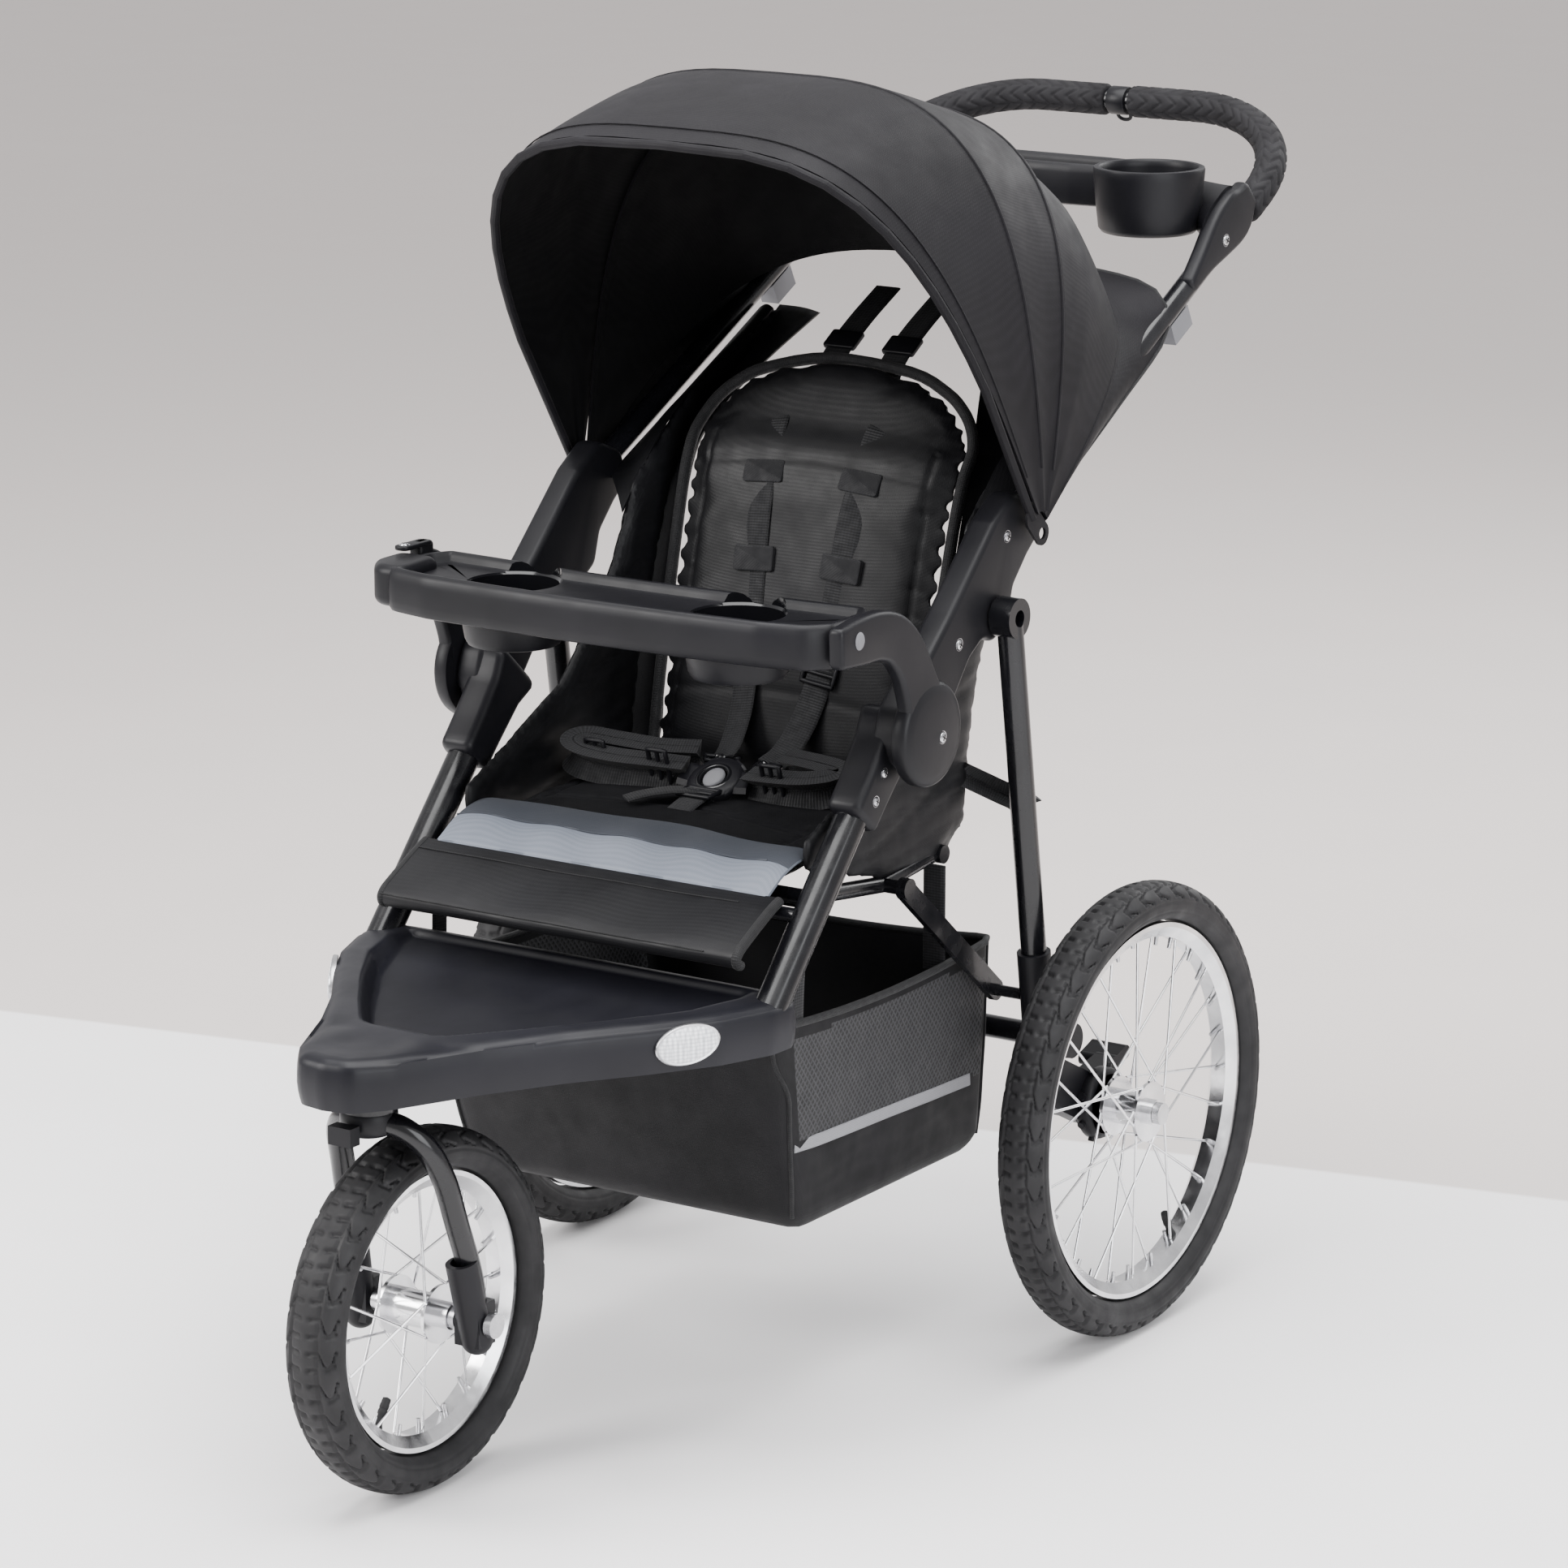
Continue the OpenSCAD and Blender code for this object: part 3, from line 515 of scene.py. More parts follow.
def dented(obj: bpy.types.Object, depth: Callable[[Array], Array]) -> bpy.types.Object:
    """Presses an object in along its normals.

    Args:
        obj: the piece.
        depth: gives each point's depth in millimetres, from its place in millimetres behind the front axle.

    Returns:
        The same object.
    """
    count = len(obj.data.vertices)
    co, normal = np.empty(count * 3), np.empty(count * 3)
    obj.data.vertices.foreach_get("co", co)
    obj.data.vertex_normals.foreach_get("vector", normal)
    co, normal = co.reshape(-1, 3), normal.reshape(-1, 3)
    at = co.copy()
    at[:, 1] -= AXLE_Y
    moved = co - normal * (depth(at / MM) * MM)[:, None]
    obj.data.vertices.foreach_set("co", moved.ravel())
    obj.data.update()
    return obj


def settle(obj: bpy.types.Object, body: str, *nodes: str, slot: Optional[str] = None) -> bpy.types.Object:
    """Lets a piece ride on a body and stand for CAD nodes, and reports it.

    Args:
        obj: the piece.
        body: the body it moves with.
        nodes: the CAD nodes it replaces.
        slot: the record's material slot; not used.

    Returns:
        The piece.
    """
    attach(obj, body)
    if nodes:
        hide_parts(*nodes)
    LOG.info("%s rides on %s, %d faces", obj.name, body, len(obj.data.polygons))
    return obj


# ---------- finishes ----------


class Bench:
    """Lays out one material's nodes."""

    def __init__(self, name: str) -> None:
        """Starts a material with its shader.

        Args:
            name: the material's name.
        """
        self.material = bpy.data.materials.new(name)
        self.material.use_nodes = True
        self.tree = self.material.node_tree
        self.shader = self.tree.nodes["Principled BSDF"]
        self.source = self.tree.nodes.new("ShaderNodeTexCoord")

    def node(self, kind: str, **settings: object) -> bpy.types.Node:
        """A node, with its settings or its inputs set by name."""
        made = self.tree.nodes.new(kind)
        for key, value in settings.items():
            if key in made.inputs:
                made.inputs[key].default_value = value
            elif hasattr(made, key):
                setattr(made, key, value)
            else:
                made.inputs[key.replace("_", " ")].default_value = value
        return made

    def link(self, out: bpy.types.NodeSocket, into: bpy.types.NodeSocket) -> None:
        """Joins two sockets."""
        self.tree.links.new(out, into)

    def place(self, scale: Sequence[float] = (1, 1, 1), charted: bool = False,
              turn: Sequence[float] = (0, 0, 0)) -> bpy.types.NodeSocket:
        """Places in metres, on the chart or in space, scaled and turned."""
        mapping = self.node("ShaderNodeMapping")
        mapping.inputs["Scale"].default_value = tuple(scale)
        mapping.inputs["Rotation"].default_value = tuple(math.radians(a) for a in turn)
        self.link(self.source.outputs["UV" if charted else "Object"], mapping.inputs["Vector"])
        return mapping.outputs["Vector"]

    def noise(self, scale: float, detail: float = 3.0, stretch: Sequence[float] = (1, 1, 1),
              roughness: float = 0.5) -> bpy.types.NodeSocket:
        """Cloudy noise with features of 1 / scale metres."""
        noise = self.node("ShaderNodeTexNoise", Scale=scale, Detail=detail, Roughness=roughness)
        self.link(self.place(stretch), noise.inputs["Vector"])
        return noise.outputs["Fac"]

    def stripes(self, scale: float, direction: str, charted: bool = False, profile: str = "SIN",
                wander: float = 0.0, turn: Sequence[float] = (0, 0, 0)) -> bpy.types.NodeSocket:
        """Even stripes, scale of them to the metre along X, Y or Z."""
        wave = self.node("ShaderNodeTexWave", Distortion=wander)
        wave.inputs["Scale"].default_value = scale / (10 / math.pi)
        wave.wave_type, wave.bands_direction, wave.wave_profile = "BANDS", direction, profile
        self.link(self.place(charted=charted, turn=turn), wave.inputs["Vector"])
        return wave.outputs["Fac"]

    def sum(self, operation: str, a: bpy.types.NodeSocket, b: object) -> bpy.types.NodeSocket:
        """A sum of two values, by the named operation."""
        maths = self.node("ShaderNodeMath", operation=operation)
        self.link(a, maths.inputs[0])
        if isinstance(b, bpy.types.NodeSocket):
            self.link(b, maths.inputs[1])
        else:
            maths.inputs[1].default_value = float(b)
        return maths.outputs[0]

    def shades(self, factor: bpy.types.NodeSocket, low: Colour, high: Colour,
               start: float = 0.3, end: float = 0.7) -> bpy.types.NodeSocket:
        """A colour that runs from low to high."""
        ramp = self.node("ShaderNodeValToRGB")
        first, last = ramp.color_ramp.elements
        first.position, last.position = start, end
        first.color, last.color = (*low, 1), (*high, 1)
        self.link(factor, ramp.inputs["Fac"])
        return ramp.outputs["Color"]

    def range(self, factor: bpy.types.NodeSocket, low: float, high: float,
              start: float = 0.25, end: float = 0.75) -> bpy.types.NodeSocket:
        """A value that runs from low to high."""
        spread = self.node("ShaderNodeMapRange")
        for key, value in (("From Min", start), ("From Max", end), ("To Min", low), ("To Max", high)):
            spread.inputs[key].default_value = value
        self.link(factor, spread.inputs["Value"])
        return spread.outputs["Result"]

    def colour(self, socket: bpy.types.NodeSocket) -> None:
        """Sets the colour from a socket."""
        self.link(socket, self.shader.inputs["Base Color"])

    def rough(self, socket: bpy.types.NodeSocket) -> None:
        """Sets the roughness from a socket."""
        self.link(socket, self.shader.inputs["Roughness"])

    def bump(self, height: bpy.types.NodeSocket, depth: float, strength: float = 1.0) -> None:
        """Adds relief of so many millimetres over any relief that is there."""
        bump = self.node("ShaderNodeBump")
        bump.inputs["Strength"].default_value = strength
        bump.inputs["Distance"].default_value = depth * MM
        self.link(height, bump.inputs["Height"])
        into = self.shader.inputs["Normal"]
        if into.links:
            self.link(into.links[0].from_socket, bump.inputs["Normal"])
        self.link(bump.outputs["Normal"], into)

    def set(self, **values: float) -> None:
        """Sets uniform values on the shader's own sockets."""
        for key, value in values.items():
            self.shader.inputs[key.replace("_", " ")].default_value = value


@dataclass(frozen=True)
class Moulding:
    """Moulded plastic with a fine spark-eroded grain, faint flow marks and rubbed patches."""

    name: str
    low: Colour
    high: Colour
    rough: Tuple[float, float]
    grain: float = 0.05
    coat: float = 0.0

    def material(self) -> bpy.types.Material:
        """The finish as a material."""
        bench = Bench(self.name)
        bench.colour(bench.shades(bench.noise(7, 4), self.low, self.high))
        bench.rough(bench.range(bench.noise(26, 5), *self.rough))
        bench.bump(bench.noise(1500, 2), self.grain, 0.5)
        bench.bump(bench.noise(420, 3), self.grain, 0.35)
        bench.set(Coat_Weight=self.coat, Coat_Roughness=0.12, Specular_IOR_Level=0.2)
        return bench.material


@dataclass(frozen=True)
class Enamel:
    """Baked tube enamel: deep gloss with a little orange peel and fine handling marks."""

    name: str
    low: Colour
    high: Colour

    def material(self) -> bpy.types.Material:
        """The finish as a material."""
        bench = Bench(self.name)
        bench.colour(bench.shades(bench.noise(16, 3), self.low, self.high))
        bench.rough(bench.range(bench.noise(60, 6), 0.16, 0.34))
        bench.bump(bench.noise(330, 2), 0.05, 0.4)
        bench.set(Coat_Weight=0.2, Coat_Roughness=0.08, Specular_IOR_Level=0.3)
        return bench.material


@dataclass(frozen=True)
class Metal:
    """Bare or plated metal with drawn lines, cloudy polish and a little grime."""

    name: str
    low: Colour
    high: Colour
    rough: Tuple[float, float]
    drawn: float

    def material(self) -> bpy.types.Material:
        """The finish as a material."""
        bench = Bench(self.name)
        bench.colour(bench.shades(bench.noise(38, 5), self.low, self.high))
        bench.rough(bench.range(bench.noise(90, 5), *self.rough))
        bench.bump(bench.noise(self.drawn, 2, stretch=(1, 0.15, 0.15)), 0.03, 0.35)
        bench.set(Metallic=1.0)
        return bench.material


@dataclass(frozen=True)
class Cloth:
    """Woven polyester: crossing threads, soft mottling, puckers and a thin sheen."""

    name: str
    low: Colour
    high: Colour
    threads: float = 620.0
    pucker: float = 0.9
    rough: Tuple[float, float] = (0.62, 0.8)
    sheen: float = 0.05
    ripple: float = 24.0
    shine: float = 0.3

    def material(self) -> bpy.types.Material:
        """The finish as a material."""
        bench = Bench(self.name)
        across = bench.stripes(self.threads, "X")
        along = bench.stripes(self.threads, "Y", turn=(45, 0, 0))
        weave = bench.sum("MULTIPLY", across, along)
        mottled = bench.sum("ADD", bench.sum("MULTIPLY", bench.noise(9, 5), 0.75),
                            bench.sum("MULTIPLY", weave, 0.25))
        bench.colour(bench.shades(mottled, self.low, self.high, 0.3, 0.68))
        bench.rough(bench.range(bench.noise(40, 4), *self.rough))
        bench.bump(weave, 0.16, 0.45)
        bench.bump(bench.noise(self.ripple, 2, stretch=(1, 1.5, 1)), self.pucker, 0.55)
        bench.bump(bench.noise(self.ripple * 4, 3), self.pucker * 0.16, 0.5)
        bench.set(Sheen_Weight=self.sheen, Sheen_Roughness=0.4, Specular_IOR_Level=self.shine)
        return bench.material


@dataclass(frozen=True)
class Ribbing:
    """Woven webbing: bold ribs across, a selvedge grain along, laid out on the piece's chart."""

    name: str
    low: Colour
    high: Colour
    ribs: float = 420.0

    def material(self) -> bpy.types.Material:
        """The finish as a material."""
        bench = Bench(self.name)
        ribs = bench.stripes(self.ribs, "Y", charted=True)
        cords = bench.stripes(self.ribs * 0.8, "X", charted=True)
        weave = bench.sum("ADD", bench.sum("MULTIPLY", ribs, 0.7), bench.sum("MULTIPLY", cords, 0.3))
        bench.colour(bench.shades(weave, self.low, self.high, 0.2, 0.9))
        bench.rough(bench.range(bench.noise(120, 3), 0.6, 0.85))
        bench.bump(weave, 0.45, 0.8)
        bench.set(Sheen_Weight=0.05, Specular_IOR_Level=0.3)
        return bench.material


@dataclass(frozen=True)
class Netting:
    """Diamond net: pale cords with dark holes between."""

    name: str
    hole: Colour
    cord: Colour
    pitch: float = 210.0

    def material(self) -> bpy.types.Material:
        """The finish as a material."""
        bench = Bench(self.name)
        one = bench.stripes(self.pitch, "X", charted=True, turn=(0, 0, 40))
        two = bench.stripes(self.pitch, "X", charted=True, turn=(0, 0, -40))
        net = bench.sum("MAXIMUM", one, two)
        bench.colour(bench.shades(net, self.hole, self.cord, 0.62, 0.95))
        bench.rough(bench.range(bench.noise(70, 3), 0.6, 0.8))
        bench.bump(net, 0.5, 0.8)
        return bench.material


@dataclass(frozen=True)
class Foam:
    """Closed-cell foam: tiny cells, a dry chalky bloom and pressed patches."""

    name: str
    low: Colour
    high: Colour

    def material(self) -> bpy.types.Material:
        """The finish as a material."""
        bench = Bench(self.name)
        bench.colour(bench.shades(bench.noise(30, 6), self.low, self.high))
        bench.rough(bench.range(bench.noise(80, 4), 0.66, 0.88))
        bench.bump(bench.noise(900, 3), 0.18, 0.5)
        bench.set(Specular_IOR_Level=0.2)
        return bench.material


@dataclass(frozen=True)
class Rubber:
    """Tyre rubber: grey bloom, dusted and finely pitted."""

    name: str
    low: Colour
    high: Colour

    def material(self) -> bpy.types.Material:
        """The finish as a material."""
        bench = Bench(self.name)
        bench.colour(bench.shades(bench.noise(22, 6, roughness=0.65), self.low, self.high, 0.25, 0.75))
        bench.rough(bench.range(bench.noise(55, 5), 0.5, 0.78))
        bench.bump(bench.noise(700, 4), 0.12, 0.6)
        bench.set(Specular_IOR_Level=0.3)
        return bench.material


@dataclass(frozen=True)
class Prisms:
    """Reflector lens: rows of small cube corners under clear gloss."""

    name: str
    low: Colour
    high: Colour

    def material(self) -> bpy.types.Material:
        """The finish as a material."""
        bench = Bench(self.name)
        cells = bench.node("ShaderNodeTexVoronoi", Scale=330.0, Randomness=0.12)
        bench.link(bench.place(), cells.inputs["Vector"])
        bench.colour(bench.shades(cells.outputs["Distance"], self.high, self.low, 0.2, 0.75))
        bench.rough(bench.range(bench.noise(60, 2), 0.1, 0.25))
        bench.bump(cells.outputs["Distance"], 0.5, 0.9)
        bench.set(Coat_Weight=0.6)
        return bench.material


@dataclass(frozen=True)
class Ground:
    """The pale floor, warmer and darker past the foot of the wall behind, with painted shade at the wall's
    foot that lightens over six metres.
    """

    name: str
    floor: Colour
    wall: Colour
    left: Tuple[float, float]
    right: Tuple[float, float]

    def material(self) -> bpy.types.Material:
        """The finish as a material."""
        bench = Bench(self.name)
        (ax, ay), (bx, by) = self.left, self.right
        length = math.hypot(bx - ax, by - ay)
        nx, ny = -(by - ay) / length, (bx - ax) / length
        apart = bench.node("ShaderNodeSeparateXYZ")
        bench.link(bench.source.outputs["Object"], apart.inputs["Vector"])
        past = bench.sum("ADD", bench.sum("MULTIPLY", apart.outputs["X"], nx),
                         bench.sum("MULTIPLY", apart.outputs["Y"], ny))
        past = bench.sum("SUBTRACT", past, ax * nx + ay * ny)
        mix = bench.node("ShaderNodeMix", data_type="RGBA")
        bench.link(bench.range(past, 0, 1, -0.004, 0.004), mix.inputs["Factor"])
        bench.link(bench.shades(bench.noise(2.2, 3), self.floor, tuple(c * 0.97 for c in self.floor)),
                   mix.inputs[6])
        # The wall band lightens by a quarter over six metres past its foot: painted shade at the foot of the
        # wall.
        bench.link(bench.shades(bench.range(past, 0, 1, 0, 6), self.wall,
                                tuple(min(1, c * 1.25) for c in self.wall), 0, 1), mix.inputs[7])
        bench.colour(mix.outputs[2])
        bench.rough(bench.range(bench.noise(6, 3), 0.6, 0.8))
        return bench.material


class Finish(Enum):
    """Every finish of the stroller."""

    TUBE = Enamel("gloss_tube_enamel", (0.002, 0.002, 0.0026), (0.005, 0.005, 0.0065))
    PLASTIC = Moulding("satin_black_moulding", (0.0032, 0.0032, 0.0042), (0.0065, 0.0063, 0.0082),
                       (0.36, 0.5))
    SHELL = Moulding("foot_shell_moulding", (0.0042, 0.0042, 0.0062), (0.0085, 0.0085, 0.0118),
                     (0.34, 0.46), 0.04)
    GLOSS = Moulding("polished_black_moulding", (0.003, 0.003, 0.0037), (0.005, 0.005, 0.0062), (0.12, 0.2),
                     0.01, 0.4)
    GREY = Moulding("grey_moulding", (0.11, 0.11, 0.12), (0.16, 0.16, 0.17), (0.38, 0.5))
    SEAT = Cloth("seat_polyester", (0.002, 0.002, 0.0026), (0.0052, 0.0052, 0.0066), 700, 1.1, (0.42, 0.58),
                 0.01, 20, 0.22)
    STRIP = Cloth("blue_grey_polyester", (0.115, 0.13, 0.16), (0.18, 0.197, 0.232), 700, 0.5, (0.5, 0.65),
                  0.05, 30)
    # Darker copy of the blue-grey strip cloth: painted shade on the back half, underside and stitching of the
    # front strip.
    SLATE = Cloth("blue_grey_polyester_painted_shade", (0.03, 0.034, 0.043), (0.055, 0.06, 0.073), 700, 0.5, (0.5, 0.65),
                  0.05, 30)
    CANOPY = Cloth("canopy_polyester", (0.0042, 0.0038, 0.0048), (0.0082, 0.0075, 0.0094), 760, 0.7,
                   (0.52, 0.68), 0.01, 9, 0.14)
    LINING = Cloth("canopy_lining", (0.0015, 0.0015, 0.0018), (0.0035, 0.0035, 0.004), 760, 0.8,
                   (0.7, 0.85), 0.0, 12, 0.1)
    BASKET = Cloth("basket_polyester", (0.0025, 0.0025, 0.003), (0.006, 0.0057, 0.007), 640, 1.4,
                   (0.55, 0.7), 0.01, 14, 0.2)
    BINDING = Ribbing("edge_binding", (0.002, 0.002, 0.0025), (0.0065, 0.0065, 0.0078), 700)
    STRAP = Ribbing("harness_webbing", (0.0015, 0.0015, 0.002), (0.011, 0.011, 0.013))
    STRIPE = Ribbing("reflective_tape", (0.17, 0.17, 0.18), (0.28, 0.28, 0.3), 900)
    NET = Netting("basket_net", (0.001, 0.001, 0.0013), (0.024, 0.024, 0.027))
    FOAM = Foam("grip_foam", (0.0055, 0.005, 0.006), (0.012, 0.0115, 0.013))
    TYRE = Rubber("tyre_rubber", (0.0042, 0.0042, 0.0048), (0.0145, 0.014, 0.0152))
    ALLOY = Metal("polished_alloy", (0.62, 0.62, 0.64), (0.86, 0.86, 0.87), (0.12, 0.26), 260)
    CHROME = Metal("chromed_wire", (0.72, 0.72, 0.74), (0.92, 0.92, 0.93), (0.06, 0.16), 600)
    STEEL = Metal("zinc_plated_steel", (0.42, 0.42, 0.44), (0.66, 0.66, 0.67), (0.22, 0.38), 420)
    LENS = Prisms("reflector_lens", (0.42, 0.43, 0.46), (0.95, 0.96, 0.99))


MADE: Dict[Finish, bpy.types.Material] = {}


def finish(kind: Finish) -> bpy.types.Material:
    """The material of a finish, made the first time it is asked for."""
    if kind not in MADE:
        MADE[kind] = kind.value.material()
    return MADE[kind]


def dress(kind: Finish, *nodes: str) -> None:
    """Gives CAD nodes that stay in view their finish."""
    for node in nodes:
        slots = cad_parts[node].material_slots
        for slot in slots:
            slot.material = finish(kind)
        LOG.info("%s is dressed in %s", node, finish(kind).name)


# ---------- studio ----------


@dataclass
class Studio:
    """Camera, floor and soft lights."""

    eye: Tuple[float, float, float] = (2.621, -3.903, 1.643)
    back: Tuple[float, float, float] = (0.5363, -0.8093, 0.2399)
    lens: float = 130.8
    wall_left: Tuple[float, float] = (-1.189, 0.376)
    wall_right: Tuple[float, float] = (0.445, 0.697)
    floor_half: float = 30.0

    def camera(self) -> None:
        """Makes the camera at the low three-quarter view."""
        data = bpy.data.cameras.new("camera")
        data.lens, data.sensor_width = self.lens, 36.0
        camera = bpy.data.objects.new("camera", data)
        camera.location = self.eye
        camera.rotation_mode = "QUATERNION"
        camera.rotation_quaternion = (-Vector(self.back)).to_track_quat("-Z", "Y")
        bpy.context.scene.collection.objects.link(camera)
        bpy.context.scene.camera = camera

    def floor(self) -> None:
        """Lays the floor."""
        h = self.floor_half
        mesh = bpy.data.meshes.new("floor")
        mesh.from_pydata([(-h, -h, 0), (h, -h, 0), (h, h, 0), (-h, h, 0)], [], [(0, 1, 2, 3)])
        ground = Ground("studio_floor", (0.88, 0.865, 0.87), (0.60, 0.555, 0.535), self.wall_left,
                        self.wall_right)
        mesh.materials.append(ground.material())
        floor = bpy.data.objects.new("floor", mesh)
        bpy.context.scene.collection.objects.link(floor)

    def light(self, name: str, at: Sequence[float], size: float, watts: float,
              colour: Colour = (1, 1, 1), aim: Sequence[float] = (0, 0, 0.5)) -> None:
        """Hangs one soft light.

        Args:
            name: its name.
            at: where it hangs.
            size: its side in metres.
            watts: its power.
            colour: its colour.
            aim: what it faces.
        """
        data = bpy.data.lights.new(name, "AREA")
        data.size, data.energy, data.color = size, watts, colour
        lamp = bpy.data.objects.new(name, data)
        lamp.location = at
        lamp.rotation_mode = "QUATERNION"
        lamp.rotation_quaternion = (Vector(aim) - Vector(at)).to_track_quat("-Z", "Y")
        bpy.context.scene.collection.objects.link(lamp)

    def build(self) -> None:
        """Sets up the studio."""
        self.camera()
        self.floor()
        self.light("overhead", (0.2, -0.3, 3.2), 3.0, 250)
        self.light("key", (-2.2, -2.6, 2.3), 1.8, 165, (1.0, 0.985, 0.97))
        self.light("fill", (3.2, -1.4, 1.5), 2.2, 95, (0.96, 0.98, 1.0))
        self.light("back", (0.6, 3.0, 2.2), 2.0, 64)
        world = bpy.data.worlds.new("studio")
        world.use_nodes = True
        world.node_tree.nodes["Background"].inputs["Color"].default_value = (0.93, 0.92, 0.93, 1)
        world.node_tree.nodes["Background"].inputs["Strength"].default_value = 0.95
        bpy.context.scene.world = world
        LOG.info("studio is set")


# ---------- wheels ----------


@dataclass
class Wheel:
    """One spoked wheel with its moulded tyre and valve."""

    name: str
    body: str
    tyre_node: str
    metal_nodes: Tuple[str, str, str]
    centre: Tuple[float, float, float]
    outside: float
    width: float
    blocks: int
    valve_turn: float
    depth: float = 34.5
    rim_depth: float = 13.0
    groove: float = 2.4
    steps: int = 20

    def relief(self, turn: Array, lean: Array) -> Array:
        """How deep the tread is cut at each place.

        Args:
            turn: angle round the wheel.
            lean: angle round the section, nought on the crown, in degrees.

        Returns:
            Depth as a share of the full groove.
        """
        beat = turn * self.blocks / (2 * math.pi) + np.where(lean > 0, 0.5, 0.0)
        u = beat - np.floor(beat)
        a = np.abs(lean)
        v = np.clip((a - 30) / 42, 0, 1)
        arc = np.abs(u - 0.22 - 0.5 * np.sin(math.pi * v))
        scallop = np.clip(1.5 - arc / 0.075, 0, 1) * (a > 27) * (a < 76)
        short = np.abs(u - 0.78 + 0.16 * v)
        tick = np.clip(1.5 - short / 0.075, 0, 1) * (a > 42) * (a < 72)
        fine = 2 * beat - np.floor(2 * beat)
        bar = np.clip(1.5 - np.abs(fine - 0.5 + 0.006 * (a - 16)) / 0.13, 0, 1) * (a > 7) * (a < 25)
        rib = np.clip(1.4 - np.abs(a - 26.5) / 2.4, 0, 1) * 0.9
        line = np.clip(1.3 - np.abs(a - 84) / 2.0, 0,
                       1) * 0.45 + np.clip(1.3 - np.abs(a - 112) / 2.2, 0, 1) * 0.4
        return np.maximum.reduce([scallop, tick, bar, rib, line])

    def tyre(self) -> bpy.types.Object:
        """The tyre, with its scalloped tread and ringed sidewall."""
        turns = np.linspace(0, 2 * math.pi, self.blocks * self.steps, endpoint=False)
        leans = np.linspace(-146, 146, 83)
        turn, lean = np.meshgrid(turns, leans, indexing="ij")
        rad = np.radians(lean)
        cut = self.groove * self.relief(turn, lean)
        half, tall = self.width / 2, self.depth / 2
        across = (half - cut * np.abs(np.sin(rad))) * np.sign(np.sin(rad)) * np.abs(np.sin(rad)) ** 0.86
        out = self.outside / 2 - tall + (tall - cut) * np.sign(np.cos(rad)) * np.abs(np.cos(rad)) ** 0.9
        x, y, z = self.centre
        rows = np.stack([x + across, y + out * np.cos(turn), z + out * np.sin(turn)], axis=-1)
        rows = np.concatenate([rows, rows[:1]])
        piece = Workpiece(f"{self.name}_tyre", finish(Finish.TYRE))
        return piece.grid(rows, wrap=True).object(60)

    def valve(self) -> bpy.types.Object:
        """The valve stem, with its ribbed cap."""
        a = math.radians(self.valve_turn)
        inward = np.array([0.0, -math.cos(a), -math.sin(a)])
        foot = np.array(self.centre) - inward * (self.outside / 2 - self.depth - self.rim_depth + 1.5)
        stem = [(0.5, 0), (4.6, 0), (4.4, 3), (3.2, 6), (3.0, 13), (3.9, 14), (3.9, 17), (3.4, 18),
                (3.9, 19), (3.9, 22), (3.4, 23), (3.7, 24), (3.3, 27), (0.5, 28)]
        piece = Workpiece(f"{self.name}_valve", finish(Finish.TYRE))
        return piece.turned(stem, foot, inward, sides=20).object(50)

    def nipples(self, count: int) -> bpy.types.Object:
        """The spoke nipples round the inside of the rim."""
        piece = Workpiece(f"{self.name}_nipples", finish(Finish.STEEL))
        reach = self.outside / 2 - self.depth - self.rim_depth + 0.6
        for k in range(count):
            a = 2 * math.pi * k / count
            inward = np.array([0.0, -math.cos(a), -math.sin(a)])
            foot = np.array(self.centre) - inward * reach + np.array([2.0 * (-1) ** k, 0, 0])
            piece.turned([(0.3, 0), (2.2, 0.2), (2.0, 3), (1.7, 9), (0.3, 9.3)], foot, inward, sides=8)
        return piece.object(50)

    def build(self, spokes: int) -> None:
        """Builds the wheel."""
        settle(self.tyre(), self.body, self.tyre_node, slot="tyre")
        settle(self.valve(), self.body, slot="tyre")
        settle(self.nipples(spokes), self.body, slot="bright_steel")
        rim, wire, hub = self.metal_nodes
        dress(Finish.ALLOY, rim, hub)
        dress(Finish.CHROME, wire)


# ---------- mouldings ----------


def screws(piece: Workpiece, spots: Sequence[Sequence[float]], axis: Sequence[float], slot: int,
           radius: float = 4.6) -> Workpiece:
    """Sets domed cross-head screws into a piece.

    Args:
        piece: what they go into.
        spots: where each head sits.
        axis: the way the heads face.
        slot: their finish.
        radius: of a head.

    Returns:
        The piece.
    """
    w = unit(axis)
    u = unit(np.cross(w, (0.2, 0.5, 0.84)))
    v = np.cross(w, u)
    for spot in spots:
        spot = np.asarray(spot, float)
        head = [(0.3, -0.8), (radius + 1.2, -0.8), (radius + 1.2, 0.25), (radius, 0.1), (radius * 0.93, 0.9),
                (radius * 0.6, 1.6), (0.3, 1.8)]
        piece.turned(head, spot, w, slot, 20)
        for a, b in ((u, v), (v, u)):
            slit = np.array([[-0.62, -0.5], [0.62, -0.5], [0.62, 0.5], [-0.62, 0.5]]) * radius * [1, 0.26]
            rows = [spot + slit[:, :1] * a + slit[:, 1:] * b + h * w for h in (1.2, 1.95)]
            piece.grid(np.array(rows), slot + 1, wrap=True, caps=True)
    return piece


